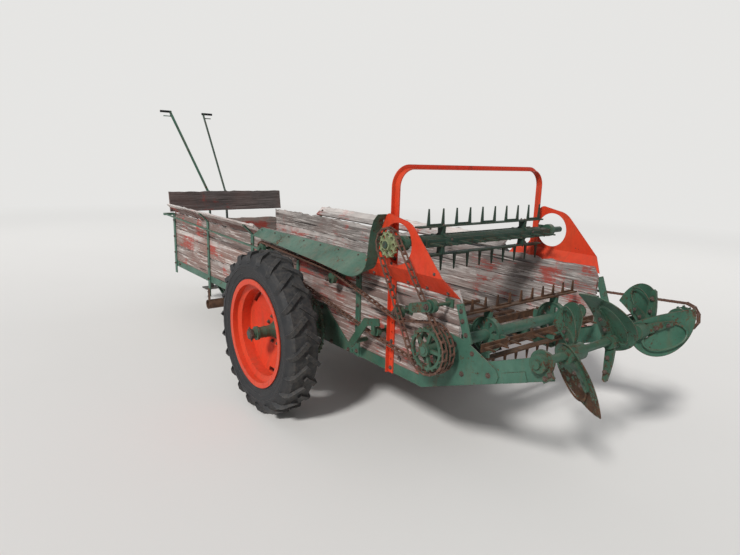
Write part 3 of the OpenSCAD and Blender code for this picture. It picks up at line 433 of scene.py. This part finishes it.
# Leaves the object in edit mode with the wanted faces selected
def selectFaces(obj, wanted):
    pick(obj)
    bpy.ops.object.mode_set(mode="EDIT")
    bpy.ops.mesh.select_mode(type="FACE")
    bpy.ops.mesh.select_all(action="DESELECT")
    bpy.ops.object.mode_set(mode="OBJECT")
    for face in obj.data.polygons:
        face.select = wanted(face)
    bpy.ops.object.mode_set(mode="EDIT")


def objectMode():
    bpy.ops.object.mode_set(mode="OBJECT")


# One object with its place in its mesh
def joined(name, *objects):
    pick(*objects)
    bpy.ops.object.transform_apply(location=True, rotation=True, scale=True)
    if len(objects) > 1:
        bpy.ops.object.join()
    bpy.context.object.name = name
    return bpy.context.object


# One copy of a piece at each place, joined into one mesh; the pattern piece goes
def copiesOf(pattern, places, name):
    twins = []
    for place in places:
        twin = pattern.copy()
        twin.data = pattern.data.copy()
        bpy.context.collection.objects.link(twin)
        twin.matrix_world = place
        twins.append(twin)
    pick(pattern)
    bpy.ops.object.delete()
    return joined(name, *twins)


# Closes a piece: faces outwards, smooth up to an angle, one material, carried by its body
def finishPiece(piece, body, material, angle=35):
    pick(piece)
    bpy.ops.object.mode_set(mode="EDIT")
    bpy.ops.mesh.select_all(action="SELECT")
    bpy.ops.mesh.normals_make_consistent(inside=False)
    objectMode()
    bpy.ops.object.shade_smooth_by_angle(angle=math.radians(angle))
    piece.data.materials.clear()
    piece.data.materials.append(material)
    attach(piece, body)


# Stands a pattern at a place with its top towards a direction
def facing(place, direction, size=1.0):
    turn = Vector((0, 0, 1)).rotation_difference(Vector(direction)).to_matrix().to_4x4()
    return Matrix.Translation(place) @ turn @ Matrix.Scale(size, 4)


# A nut on a washer with the bolt's end standing out; widths and bevels are shares of the radius
boltShape = {"radius": 0.008, "height": 0.007, "nutBevel": 0.16, "washer": 1.5, "washerThick": 0.002,
             "stud": 0.55, "studLength": 0.004, "studBevel": 0.2}


def makeBolt(shape):
    radius, height, thick = shape["radius"], shape["height"], shape["washerThick"]
    bpy.ops.mesh.primitive_cylinder_add(vertices=6, radius=radius, depth=height,
                                        location=(0, 0, height / 2 + thick))
    nut = bpy.context.object
    selectFaces(nut, lambda face: face.normal.z > 0.9)
    bpy.ops.mesh.bevel(offset=shape["nutBevel"] * radius, segments=1)
    objectMode()
    bpy.ops.mesh.primitive_cylinder_add(vertices=12, radius=radius * shape["washer"], depth=thick,
                                        location=(0, 0, thick / 2))
    washer = bpy.context.object
    bpy.ops.mesh.primitive_cylinder_add(vertices=8, radius=radius * shape["stud"],
                                        depth=shape["studLength"],
                                        location=(0, 0, height + thick + shape["studLength"] / 2))
    stud = bpy.context.object
    selectFaces(stud, lambda face: face.normal.z > 0.9)
    bpy.ops.mesh.bevel(offset=shape["studBevel"] * radius, segments=1)
    objectMode()
    return joined("bolt_pattern", nut, washer, stud)


# How far out the stakes' and the gussets' faces are
stakeFace, gussetFace = 0.591, 0.589
outwards = (1, 0, 0)

# Rows on the left side, repeated on the right: from, to, how many, the way they face, size
sideRows = [
    ((stakeFace, -2.676, 0.562), (stakeFace, -2.676, 0.888), 3, outwards, 1.0),
    ((stakeFace, -1.790, 0.562), (stakeFace, -1.790, 0.888), 3, outwards, 1.0),
    ((stakeFace, -0.900, 0.562), (stakeFace, -0.900, 0.888), 3, outwards, 1.0),
    ((stakeFace, -0.215, 0.725), (stakeFace, -0.215, 0.888), 2, outwards, 1.0),
    ((stakeFace, 0.470, 0.562), (stakeFace, 0.470, 0.888), 3, outwards, 1.0),
    ((stakeFace, -2.676, 0.450), (stakeFace, 0.470, 0.450), 2, outwards, 1.1),
    ((stakeFace, -1.790, 0.450), (stakeFace, -0.900, 0.450), 2, outwards, 1.1),
    ((gussetFace, 0.779, 0.448), (gussetFace, 0.779, 1.048), 5, outwards, 1.0),
    ((gussetFace, 1.118, 0.560), (gussetFace, 1.118, 0.660), 2, outwards, 1.1),
    ((gussetFace, 1.130, 0.745), (gussetFace, 1.235, 0.715), 2, outwards, 1.1),
    ((gussetFace, 1.290, 0.585), (gussetFace, 1.445, 0.630), 2, outwards, 1.1),
    ((gussetFace, 1.345, 0.700), (gussetFace, 1.300, 0.775), 2, outwards, 1.0),
    ((gussetFace, 1.262, 0.880), (gussetFace, 1.275, 0.835), 2, outwards, 1.0),
    ((gussetFace, -0.385, 0.433), (gussetFace, -0.205, 0.433), 2, outwards, 1.2),
    ((gussetFace, 0.205, 0.433), (gussetFace, 0.385, 0.433), 2, outwards, 1.2),
    ((gussetFace, -0.095, 0.630), (gussetFace, 0.095, 0.630), 3, outwards, 1.2),
    ((0.583, -2.575, 0.450), (0.583, -1.275, 0.450), 2, outwards, 1.1),
    ((0.595, 1.735, 0.716), (0.595, 1.755, 0.738), 2, outwards, 1.0),
    ((0.643, 0.665, 1.034), (0.643, 1.130, 1.034), 4, outwards, 0.7),
    ((0.5955, 0.620, 0.947), (0.5955, 1.180, 0.947), 5, (0.828, 0, -0.562), 0.8),
    ((0.597, -1.790, 0.290), (0.597, -1.790, 0.330), 2, outwards, 1.0),
    ((0.034, -3.240, 0.330), (0.034, -3.240, 0.330), 1, outwards, 1.2)]

# Rows that the two sides don't share
onceRows = [
    ((0.603, -0.700, 1.0204), (0.603, 0.480, 1.0204), 7, (0.562, 0, 0.827), 0.7),
    ((stakeFace, -0.622, 0.905), (stakeFace, -0.578, 0.905), 2, outwards, 0.9),
    ((stakeFace, 0.278, 0.860), (stakeFace, 0.322, 0.860), 2, outwards, 0.9),
    ((stakeFace, 0.886, 0.800), (stakeFace, 0.924, 0.800), 2, outwards, 0.8),
    ((0.690, 0.300, 0.860), (0.690, 0.905, 0.800), 2, outwards, 1.3),
    ((0.738, 1.186, 0.903), (0.738, 1.186, 0.903), 1, outwards, 1.3),
    ((-0.690, 1.440, 0.685), (-0.690, 1.440, 0.685), 1, (-1, 0, 0), 1.3),
    ((0.6108, -1.790, 1.023), (0.6108, -0.900, 1.023), 2, (-0.707, 0, 0.707), 0.9),
    ((0.6108, -2.600, 1.023), (0.6108, -1.350, 1.023), 2, (-0.707, 0, 0.707), 0.9),
    ((-0.6108, -1.790, 1.023), (-0.6108, -0.900, 1.023), 2, (0.707, 0, 0.707), 0.9),
    ((-0.6108, -0.215, 1.023), (-0.6108, 0.470, 1.023), 2, (0.707, 0, 0.707), 0.9),
    ((-0.500, -2.700, 0.500), (-0.500, -2.700, 0.820), 3, (0, -1, 0), 1.0),
    ((0.500, -2.700, 0.500), (0.500, -2.700, 0.820), 3, (0, -1, 0), 1.0),
    ((0.169, -2.810, 0.660), (0.169, -2.810, 0.660), 1, outwards, 1.2),
    ((-0.021, -2.810, 0.660), (-0.021, -2.810, 0.660), 1, outwards, 1.2),
    ((0.000, -3.655, 0.432), (0.000, -3.610, 0.432), 2, (0, 0, 1), 1.3)]


def rowPlaces(rows, side=1):
    places = []
    for start, end, count, way, size in rows:
        for i in range(count):
            spot = at(*start).lerp(at(*end), i / max(1, count - 1))
            spot.x *= side
            places.append(facing(spot, (side * way[0], way[1], way[2]), size))
    return places


framePlaces = rowPlaces(sideRows) + rowPlaces(sideRows, -1) + rowPlaces(onceRows)
finishPiece(copiesOf(makeBolt(boltShape), framePlaces, "frame_bolts"), "frame", boltIron)

sides = {"left": 1, "right": -1}  # the way along X

# A bolted plate on each wheel's disc, hollow round the barrel of the hub, and the barrel's flared root
wheelPlate = {"face": 0.866, "radius": 0.106, "thick": 0.008, "bevel": 0.002, "hollow": 0.066,
              "depth": 0.8, "nuts": 8, "circle": 0.086, "size": 1.1}
barrelRoot = {"radius": 0.060, "end": 0.0365, "length": 0.080, "waist": 0.86}


def makeWheelPlate(plate, side, body):
    places = []
    for i in range(plate["nuts"]):
        turn = 2 * math.pi * (i + 0.5) / plate["nuts"]
        spot = at(side * (plate["face"] + plate["thick"]), plate["circle"] * math.cos(turn),
                  axleHeight + plate["circle"] * math.sin(turn))
        places.append(facing(spot, (side, 0, 0), plate["size"]))
    finishPiece(copiesOf(makeBolt(boltShape), places, body + "_nuts"), body, boltIron)
    middle = at(side * (plate["face"] + plate["thick"] / 2), 0, axleHeight)
    bpy.ops.mesh.primitive_cylinder_add(vertices=48, radius=plate["radius"], depth=plate["thick"],
                                        location=middle, rotation=(0, side * math.pi / 2, 0))
    ring = bpy.context.object
    selectFaces(ring, lambda face: face.normal.z > 0.9)
    bpy.ops.mesh.bevel(offset=plate["bevel"], segments=2)
    objectMode()
    selectFaces(ring, lambda face: face.normal.z > 0.99)
    bpy.ops.mesh.inset(thickness=plate["radius"] - plate["hollow"])
    bpy.ops.transform.translate(value=(-plate["depth"] * side * plate["thick"], 0, 0))
    objectMode()
    finishPiece(joined(body + "_plate", ring), body, finishes["bright_red"])


def makeBarrelRoot(root, side, body):
    start = wheelPlate["face"]
    middle = at(side * (start + root["length"] / 2), 0, axleHeight)
    bpy.ops.mesh.primitive_cone_add(vertices=40, radius1=root["radius"], radius2=root["end"],
                                    depth=root["length"], location=middle,
                                    rotation=(0, side * math.pi / 2, 0))
    barrel = joined(body + "_barrel", bpy.context.object)
    bpy.ops.object.mode_set(mode="EDIT")
    for share, waist in ((0.25, root["waist"]), (0.5, root["waist"]), (0.75, 0.5 + root["waist"] / 2)):
        spot = at(side * (start + share * root["length"]), 0, axleHeight)
        bpy.ops.mesh.select_all(action="SELECT")
        bpy.ops.mesh.bisect(plane_co=spot, plane_no=(1, 0, 0))
        bpy.ops.transform.resize(value=(1, waist, waist), center_override=spot)
    objectMode()
    finishPiece(barrel, body, finishes["cast_green"])


for name, side in sides.items():
    makeWheelPlate(wheelPlate, side, name + "_wheel")
    makeBarrelRoot(barrelRoot, side, name + "_wheel")

# How far each beater's bars are from its shaft and its spiders from the middle; a pair of bolts
# holds each bar on each spider
beaters = {"upper_beater": {"shaft": upperShaft, "bars": 0.078, "spiders": 0.340},
           "lower_beater": {"shaft": lowerShaft, "bars": 0.138, "spiders": 0.280}}
barBolts = {"apart": 0.025, "size": 0.62}

for body, beater in beaters.items():
    places = []
    for quarter in range(4):
        turn = Matrix.Translation(at(0, *beater["shaft"])) @ Matrix.Rotation(quarter * math.pi / 2, 4, "X")
        for x in (-beater["spiders"], beater["spiders"]):
            for off in (-barBolts["apart"] / 2, barBolts["apart"] / 2):
                places.append(turn @ facing((x, off, beater["bars"]), (0, 0, 1), barBolts["size"]))
    finishPiece(copiesOf(makeBolt(boltShape), places, body + "_bolts"), body, boltIron)
print("bolts")


# Arms of the distributor: hub, angle round the shaft, lean, turn, side of the bulge, with a paddle or not
distributorShaft = {"place": rearShaft, "dish": 0.600, "hollow": (0.120, -0.112), "sunk": 0.014}
arms = [(0.398, -72, -22, 30, -1, True), (0.358, 160, -40, 0, -1, True), (0.0637, 97, 37, 0, -1, True),
        (0.0637, -83, 20, 0, 1, False), (-0.171, 24, -60, 20, -1, True), (-0.279, 90, 0, 0, 1, False),
        (-0.279, 155, -35, 0, -1, True)]


# Bolts on an arm: how far out, and how deep under the paddle's hollow side on the back and in front
armBolts = {"out": (0.085, 0.150), "back": 0.016, "backSize": 0.9, "front": -0.005, "frontSize": 0.8}

# An oval rib that stands proud of a paddle's hollow side
paddleRib = {"middle": (0.125, 0.052), "half": (0.118, 0.058), "thick": 0.0035}


# The hollow side of a paddle, or depth under it, at a distance from the shaft and across
def paddleSurface(shaft, out, across, depth):
    radius = shaft["dish"] - depth
    reach = Vector((out - shaft["hollow"][0], across - shaft["hollow"][1])).length
    return shaft["dish"] - shaft["sunk"] - math.sqrt(radius ** 2 - reach ** 2)


# The arm's own frame: its hub on the shaft at the origin, and the arm along Y
def armPlace(shaft, hub, angle, lean, turn, side):
    return (Matrix.Translation(at(hub, *shaft["place"])) @ Matrix.Rotation(math.radians(angle), 4, "X")
            @ Matrix.Rotation(math.radians(-lean), 4, "Z") @ Matrix.Rotation(math.radians(turn), 4, "Y")
            @ Matrix.Diagonal((1, 1, side, 1)))


def armPlaces(bolts, shaft, arms):
    places = []
    for hub, angle, lean, turn, side, paddle in arms:
        arm = armPlace(shaft, hub, angle, lean, turn, side)
        for out in bolts["out"]:
            back = (paddleSurface(shaft, out, 0, bolts["back"]), out, 0)
            places.append(arm @ facing(back, (1, 0, 0), bolts["backSize"]))
            if paddle:
                front = (paddleSurface(shaft, out, 0, bolts["front"]), out, 0)
                places.append(arm @ facing(front, (-1, 0, 0), bolts["frontSize"]))
    return places


def makeRibs(rib, shaft, arms):
    ribs = []
    for hub, angle, lean, turn, side, paddle in arms:
        if paddle:
            bpy.ops.mesh.primitive_torus_add(major_segments=64, minor_segments=6, major_radius=1.0,
                                             minor_radius=rib["thick"] / rib["half"][1],
                                             rotation=(0, math.pi / 2, 0))
            ring = joined("rib", bpy.context.object)
            for vertex in ring.data.vertices:
                flat = vertex.co.x * rib["half"][1]
                out = rib["middle"][0] + vertex.co.y * rib["half"][0]
                across = rib["middle"][1] + vertex.co.z * rib["half"][1]
                vertex.co = (paddleSurface(shaft, out, across, 0) + flat, out, across)
            ring.matrix_world = armPlace(shaft, hub, angle, lean, turn, side)
            ribs.append(ring)
    return joined("paddle_ribs", *ribs)


boltPlaces = armPlaces(armBolts, distributorShaft, arms)
finishPiece(copiesOf(makeBolt(boltShape), boltPlaces, "arm_bolts"), "distributor", boltIron)
ribs = makeRibs(paddleRib, distributorShaft, arms)
finishPiece(ribs, "distributor", special["paddles"], 60)
print("distributor")


# A hexagonal cap with a raised middle and a pin through it on each end of the axle
axleCap = {"radius": 0.036, "depth": 0.016, "from": 1.030, "rim": 0.006, "raised": 0.003,
           "pinRadius": 0.004, "pinLength": 2.5, "pinTurn": 0.4, "pinBevel": 0.001}


def makeAxleCap(cap, side, name):
    middle = at(side * (cap["from"] + cap["depth"] / 2), 0, axleHeight)
    bpy.ops.mesh.primitive_cylinder_add(vertices=6, radius=cap["radius"], depth=cap["depth"],
                                        location=middle, rotation=(0, math.pi / 2, 0))
    nut = bpy.context.object
    selectFaces(nut, lambda face: face.normal.z * side > 0.9)
    bpy.ops.mesh.inset(thickness=cap["rim"])
    bpy.ops.transform.translate(value=(side * cap["raised"], 0, 0))
    objectMode()
    bpy.ops.mesh.primitive_cylinder_add(vertices=8, radius=cap["pinRadius"],
                                        depth=cap["pinLength"] * cap["radius"],
                                        location=middle, rotation=(cap["pinTurn"], 0, 0))
    pin = bpy.context.object
    selectFaces(pin, lambda face: abs(face.normal.z) > 0.9)
    bpy.ops.mesh.bevel(offset=cap["pinBevel"], segments=1)
    objectMode()
    finishPiece(joined(name, nut, pin), "axle", boltIron)


for name, side in sides.items():
    makeAxleCap(axleCap, side, "axle_cap_" + name)


# Raised rings on the sidewalls of the tyres: radius, place out from the wheel's middle, thickness
sidewall = {"middle": 0.930,
            "rings": [(0.346, 0.0832, 0.0035), (0.372, 0.0896, 0.0025), (0.405, 0.0972, 0.003)]}


def makeRings(sidewall, side, name, body):
    rings = []
    for radius, out, thick in sidewall["rings"]:
        for face in (-1, 1):
            middle = at(side * sidewall["middle"] + face * out, 0, axleHeight)
            bpy.ops.mesh.primitive_torus_add(major_segments=96, minor_segments=6, major_radius=radius,
                                             minor_radius=thick, rotation=(0, math.pi / 2, 0),
                                             location=middle)
            rings.append(bpy.context.object)
    finishPiece(joined(name, *rings), body, finishes["tyre"], 60)


for name, side in sides.items():
    makeRings(sidewall, side, "tyre_rings_" + name, name + "_wheel")
print("wheels")


# Chains of open, hooked links: each is a little longer than the pitch, and narrower where it hooks
linkShape = {"pitch": 0.0414, "width": 0.034, "bar": 0.006, "thick": 0.009, "barrel": 0.0062,
             "overlap": 1.04, "hookFrom": 0.4, "narrowed": 0.80, "thickened": 1.1, "bevel": 0.0012,
             "barrelWidth": 0.86, "barrelBack": 0.47, "barrelBevel": 0.001}


def makeLink(shape):
    bpy.ops.mesh.primitive_cube_add(size=1)
    link = bpy.context.object
    link.scale = (shape["width"], shape["pitch"] * shape["overlap"], shape["thick"])
    joined("link_frame", link)
    selectFaces(link, lambda face: abs(face.normal.z) > 0.9)
    bpy.ops.mesh.inset(thickness=shape["bar"])
    bpy.ops.mesh.bridge_edge_loops()
    objectMode()
    selectFaces(link, lambda face: face.center.y > shape["hookFrom"] * shape["pitch"])
    bpy.ops.transform.resize(value=(shape["narrowed"], 1, shape["thickened"]))
    objectMode()
    pick(link)
    bpy.ops.object.modifier_add(type="BEVEL")
    link.modifiers["Bevel"].width = shape["bevel"]
    link.modifiers["Bevel"].segments = 1
    bpy.ops.object.modifier_apply(modifier="Bevel")
    bpy.ops.mesh.primitive_cylinder_add(vertices=8, radius=shape["barrel"],
                                        depth=shape["barrelWidth"] * shape["width"],
                                        location=(0, -shape["barrelBack"] * shape["pitch"], 0),
                                        rotation=(0, math.pi / 2, 0))
    barrel = bpy.context.object
    selectFaces(barrel, lambda face: abs(face.normal.z) > 0.9)
    bpy.ops.mesh.bevel(offset=shape["barrelBevel"], segments=1)
    objectMode()
    return joined("link_pattern", link, barrel)


# Heading of the run from one wheel to the next; a wheel is place aft, height, radius, and a
# negative radius presses from outside
def runAngle(a, b):
    way = Vector((b[0] - a[0], b[1] - a[1]))
    return math.atan2(way.y, way.x) + math.asin((b[2] - a[2]) / way.length)


# Points along the closed loop round all wheels
def chainRoute(wheels):
    points = []
    for i, wheel in enumerate(wheels):
        before = runAngle(wheels[i - 1], wheel)
        after = runAngle(wheel, wheels[(i + 1) % len(wheels)])
        sign = math.copysign(1, wheel[2])
        turn = (sign * (before - after)) % (2 * math.pi)
        steps = max(2, math.ceil(turn / math.radians(5)))
        for k in range(steps + 1):
            angle = before + math.pi / 2 - sign * turn * k / steps
            points.append(Vector((wheel[0] + wheel[2] * math.cos(angle),
                                  wheel[1] + wheel[2] * math.sin(angle))))
    return points


def chainPlaces(wheels, x, pitch):
    points = chainRoute(wheels)
    lengths = [(points[(i + 1) % len(points)] - point).length for i, point in enumerate(points)]
    links = round(sum(lengths) / pitch)
    places = []
    i, walked = 0, 0.0
    for k in range(links):
        goal = (k + 0.5) * sum(lengths) / links
        while walked + lengths[i] < goal:
            walked += lengths[i]
            i += 1
        way = points[(i + 1) % len(points)] - points[i]
        spot = points[i] + way * (goal - walked) / lengths[i]
        places.append(Matrix.Translation(at(x, *spot)) @ Matrix.Rotation(math.atan2(way.y, way.x), 4, "X"))
    return places


# How far out each chain runs, and its wheels in turn
lowerWheel = (*lowerShaft, 0.1192)
chains = {
    "main_chain": {"out": 0.654, "wheels": [(-0.600, 0.905, 0.045), (0.300, 0.860, 0.040),
                                            (0.905, 0.800, -0.042), lowerWheel, (0.735, 0.652, 0.032)]},
    "upper_chain": {"out": 0.702, "wheels": [(*upperShaft, 0.0800), (1.186, 0.903, -0.040), lowerWheel]},
    "distributor_chain": {"out": -0.654, "wheels": [lowerWheel, (*rearShaft, 0.0735),
                                                    (1.440, 0.685, -0.035)]}}

for node, run in chains.items():
    places = chainPlaces(run["wheels"], run["out"], linkShape["pitch"])
    chain = copiesOf(makeLink(linkShape), places, node + "_links")
    finishPiece(chain, "frame", finishes["rusty_iron"])
    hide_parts(node)
print("chains")


# The guard over the main chain. A section is a place aft of the axle, then how far out from the
# side boards and how high its inner and its outer edge are.
guardSheet = {"thickness": 0.003, "cuts": 2, "sections": [
    (-0.740, 0.000, 1.034, 0.078, 0.981), (-0.300, 0.000, 1.034, 0.098, 0.967),
    (0.200, 0.000, 1.034, 0.125, 0.949), (0.520, 0.000, 1.034, 0.150, 0.932),
    (0.565, 0.020, 1.012, 0.150, 0.930), (0.605, 0.050, 0.985, 0.146, 0.934),
    (0.640, 0.061, 0.974, 0.140, 0.948), (0.672, 0.061, 0.984, 0.136, 0.970),
    (0.695, 0.061, 1.010, 0.134, 1.002), (0.708, 0.061, 1.054, 0.133, 1.050),
    (0.716, 0.061, 1.124, 0.132, 1.124), (0.726, 0.061, 1.190, 0.130, 1.190),
    (0.746, 0.061, 1.248, 0.126, 1.248), (0.768, 0.061, 1.278, 0.118, 1.278)]}


# Leaves the object in edit mode with the vertices of these numbers selected
def selectVertices(obj, numbers):
    bpy.ops.object.mode_set(mode="EDIT")
    bpy.ops.mesh.select_mode(type="VERT")
    bpy.ops.mesh.select_all(action="DESELECT")
    objectMode()
    for vertex in obj.data.vertices:
        vertex.select = vertex.index in numbers
    bpy.ops.object.mode_set(mode="EDIT")


# Moves the two ends of an edge to a section's inner and outer place
def moveEdge(obj, edge, section):
    y, innerOut, innerHeight, outerOut, outerHeight = section
    goals = (at(boards[1].x + innerOut, y, innerHeight), at(boards[1].x + outerOut, y, outerHeight))
    for number, goal in zip(edge, goals):
        selectVertices(obj, (number,))
        bpy.ops.transform.translate(value=goal - obj.data.vertices[number].co)
        objectMode()


# The sheet grows rearwards from its front edge, one section at a time
def makeGuard(sheet):
    bpy.ops.mesh.primitive_plane_add(size=1)
    guard = bpy.context.object
    corners = sorted(guard.data.vertices, key=lambda vertex: (vertex.co.y, vertex.co.x))
    frontEdge, edge = [vertex.index for vertex in corners[:2]], [vertex.index for vertex in corners[2:]]
    moveEdge(guard, frontEdge, sheet["sections"][0])
    moveEdge(guard, edge, sheet["sections"][1])
    for section in sheet["sections"][2:]:
        selectVertices(guard, edge)
        bpy.ops.mesh.extrude_region_move(TRANSFORM_OT_translate={"value": (0, 0.01, 0)})
        objectMode()
        grown = [vertex for vertex in guard.data.vertices if vertex.select]
        edge = [vertex.index for vertex in sorted(grown, key=lambda vertex: vertex.co.x)]
        moveEdge(guard, edge, section)
    bpy.ops.object.mode_set(mode="EDIT")
    bpy.ops.mesh.select_all(action="SELECT")
    bpy.ops.mesh.normals_make_consistent(inside=False)
    bpy.ops.mesh.subdivide(number_cuts=sheet["cuts"], smoothness=0.0)
    objectMode()
    bpy.ops.object.modifier_add(type="SOLIDIFY")
    guard.modifiers["Solidify"].thickness = sheet["thickness"]
    guard.modifiers["Solidify"].offset = 0
    bpy.ops.object.modifier_apply(modifier="Solidify")
    return joined("guard_sheet", guard)


guard = makeGuard(guardSheet)
finishPiece(guard, "frame", finishes["frame_green"], 50)
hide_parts("chain_guard")
print("guard")


# Noise that wears boards hollow and tears their upper edges
cloudNoise = {"board_lumps": {"noise_scale": 0.11, "noise_depth": 4},
              "board_splits": {"noise_scale": 0.045, "noise_depth": 3, "contrast": 3.0, "intensity": 1.25}}

# Distance between cuts along each axis, depth of the hollows, and of the tears in the upper edge
wornBoards = {
    "side_boards": {"cuts": (None, 0.055, 0.027), "hollow": 0.0035, "tear": 0.022},
    "flare_boards": {"cuts": (0.02, 0.06, None), "hollow": 0.0035, "tear": 0.018},
    "front_flare": {"cuts": (0.055, None, 0.03), "hollow": 0.004, "tear": 0.008},
    "front_panel": {"cuts": (0.06, None, 0.03), "hollow": 0.003, "tear": 0.012},
    "floor_boards": {"cuts": (0.035, 0.11, None), "hollow": 0.003, "tear": 0.0}}

# Where a vertex counts as on an upper edge, and the share of the tears between two planks of a side
tornEdge = {"near": 0.002, "nearPlank": 0.0003, "lowerShare": 0.3}


def makeClouds(name):
    texture = bpy.data.textures.new(name, "CLOUDS")
    for key, value in cloudNoise[name].items():
        setattr(texture, key, value)
    return texture


def addDisplace(board, texture, direction, strength, group=""):
    pick(board)
    bpy.ops.object.modifier_add(type="DISPLACE")
    displace = board.modifiers["Displace"]
    displace.texture = texture
    displace.direction = direction
    displace.strength = strength
    displace.mid_level = 1.0
    displace.vertex_group = group
    bpy.ops.object.modifier_apply(modifier="Displace")


# 1 on the upper edge, less where the planks of a side meet under it, 0 elsewhere
def tearShare(node, spot, highest):
    if node != "side_boards":
        return float(spot.z > highest.z - tornEdge["near"])
    height = spot.z - boards[0].z
    plank = round(height / plankHeight)
    if plank == 0 or abs(height - plank * plankHeight) > tornEdge["nearPlank"]:
        return 0.0
    return 1.0 if plank == sidePlanks else tornEdge["lowerShare"]


# Worn boards are cut from their node's own mesh
def wearBoards(node, wear):
    mesh = frame["nodes"][node].data.copy()
    board = bpy.data.objects.new(node + "_worn", mesh)
    bpy.context.collection.objects.link(board)
    material = frame["nodes"][node].material_slots[0].material
    lowest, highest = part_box(node)
    pick(board)
    bpy.ops.object.mode_set(mode="EDIT")
    bpy.ops.mesh.select_all(action="SELECT")
    bpy.ops.mesh.remove_doubles(threshold=0.00005)
    for axis, gap in enumerate(wear["cuts"]):
        count = int((highest[axis] - lowest[axis]) / gap) if gap else 0
        for i in range(1, count + 1):
            spot = lowest.copy()
            spot[axis] = lowest[axis] + i * (highest[axis] - lowest[axis]) / (count + 1)
            bpy.ops.mesh.select_all(action="SELECT")
            bpy.ops.mesh.bisect(plane_co=spot, plane_no=[float(k == axis) for k in range(3)])
    objectMode()
    if wear["tear"]:
        top = board.vertex_groups.new(name="top")
        for vertex in mesh.vertices:
            share = tearShare(node, vertex.co, highest)
            if share:
                top.add([vertex.index], share, "REPLACE")
        addDisplace(board, splits, "Z", wear["tear"], "top")
    addDisplace(board, lumps, "NORMAL", wear["hollow"])
    finishPiece(board, "frame", material, 30)
    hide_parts(node)


lumps, splits = makeClouds("board_lumps"), makeClouds("board_splits")
for node, wear in wornBoards.items():
    wearBoards(node, wear)
print("boards")


cameraSettings = {"place": at(2.413, 2.9288, 1.5506), "heading": -2.2299, "pitch": -0.2125,
                  "roll": 0.0296, "lens": 26.83}


def addCamera(settings):
    heading, pitch, roll = settings["heading"], settings["pitch"], settings["roll"]
    forward = Vector((math.cos(pitch) * math.cos(heading), math.cos(pitch) * math.sin(heading),
                      math.sin(pitch)))
    right = forward.cross(Vector((0, 0, 1))).normalized()
    up = right.cross(forward)
    turned = math.cos(roll) * right + math.sin(roll) * up
    upright = math.cos(roll) * up - math.sin(roll) * right
    bpy.ops.object.camera_add(location=settings["place"])
    camera = bpy.context.object
    camera.rotation_euler = Matrix((turned, upright, -forward)).transposed().to_euler()
    camera.data.lens = settings["lens"]
    camera.data.clip_end = 200
    bpy.context.scene.camera = camera


# Kind, place, what it points at, size or angle, and strength of each soft light
lights = {"sun_side": ("SUN", (6.0, 2.8, 5.8), (0, 0.3, 0.5), 0.16, 2.7),
          "front_side": ("AREA", (2.0, -8.0, 5.0), (0, -0.8, 0.6), 6.0, 70.0),
          "far_side": ("AREA", (-8.0, 0.0, 5.5), (0, 0.3, 0.5), 6.0, 90.0)}


def addLight(name, kind, place, target, spread, power):
    bpy.ops.object.light_add(type=kind, location=place)
    light = bpy.context.object
    light.name = name
    light.data.energy = power
    if kind == "SUN":
        light.data.angle = spread
    else:
        light.data.size = spread
    light.rotation_euler = (Vector(target) - Vector(place)).to_track_quat("-Z", "Y").to_euler()


# Colours of the floor and the backdrop, the light of the sky, and where the floor starts and ends to fade
studio = {"floor": (0.80, 0.775, 0.74), "backdrop": (0.79, 0.785, 0.77), "sky": (0.86, 0.90, 0.95),
          "skyStrength": 0.36, "fade": (4.0, 14.0)}


# A pale floor that turns into the backdrop's own colour far away, as the camera and gloss see it
def addFloor(studio):
    bpy.ops.mesh.primitive_plane_add(size=120, location=(0, 0, -0.001))
    ground = bpy.context.object
    ground.name = "studio_floor"
    material, tree = startMaterial("studio_floor")
    place = objectPlace(tree)
    colour = mix(tree, noise(tree, place, 0.8, 3, 0.5), studio["floor"], darker(studio["floor"], 0.97))
    grain = noise(tree, place, 60, 3, 0.5)
    bump = addNode(tree, "Bump", {"Height": grain, "Strength": 0.05, "Distance": 0.001})
    near = addNode(tree, "BsdfPrincipled", {"Base Color": colour, "Roughness": 0.9,
                                            "Normal": bump.outputs[0]})
    far = addNode(tree, "Emission", {"Color": (*studio["backdrop"], 1)})
    away = addNode(tree, "VectorMath", {0: place}, operation="LENGTH").outputs["Value"]
    seen = addNode(tree, "LightPath")
    seen = maths(tree, "MAXIMUM", seen.outputs["Is Camera Ray"], seen.outputs["Is Glossy Ray"])
    share = times(tree, step(tree, away, *studio["fade"]), seen)
    blend = addNode(tree, "MixShader", {0: share, 1: near.outputs[0], 2: far.outputs[0]})
    addNode(tree, "OutputMaterial", {"Surface": blend.outputs[0]})
    ground.data.materials.append(material)


# A sky that lights evenly, and shows the backdrop's colour where it is seen
def addSky(studio):
    world = bpy.data.worlds.new("studio")
    bpy.context.scene.world = world
    world.use_nodes = True
    tree = world.node_tree
    tree.nodes.clear()
    seen = addNode(tree, "LightPath").outputs["Is Camera Ray"]
    lit = addNode(tree, "Background", {"Color": (*studio["sky"], 1), "Strength": studio["skyStrength"]})
    shown = addNode(tree, "Background", {"Color": (*studio["backdrop"], 1)})
    blend = addNode(tree, "MixShader", {0: seen, 1: lit.outputs[0], 2: shown.outputs[0]})
    addNode(tree, "OutputWorld", {"Surface": blend.outputs[0]})


addCamera(cameraSettings)
for name, settings in lights.items():
    addLight(name, *settings)
addFloor(studio)
addSky(studio)
bpy.context.scene.view_settings.view_transform = "Standard"
print("camera, light and floor")
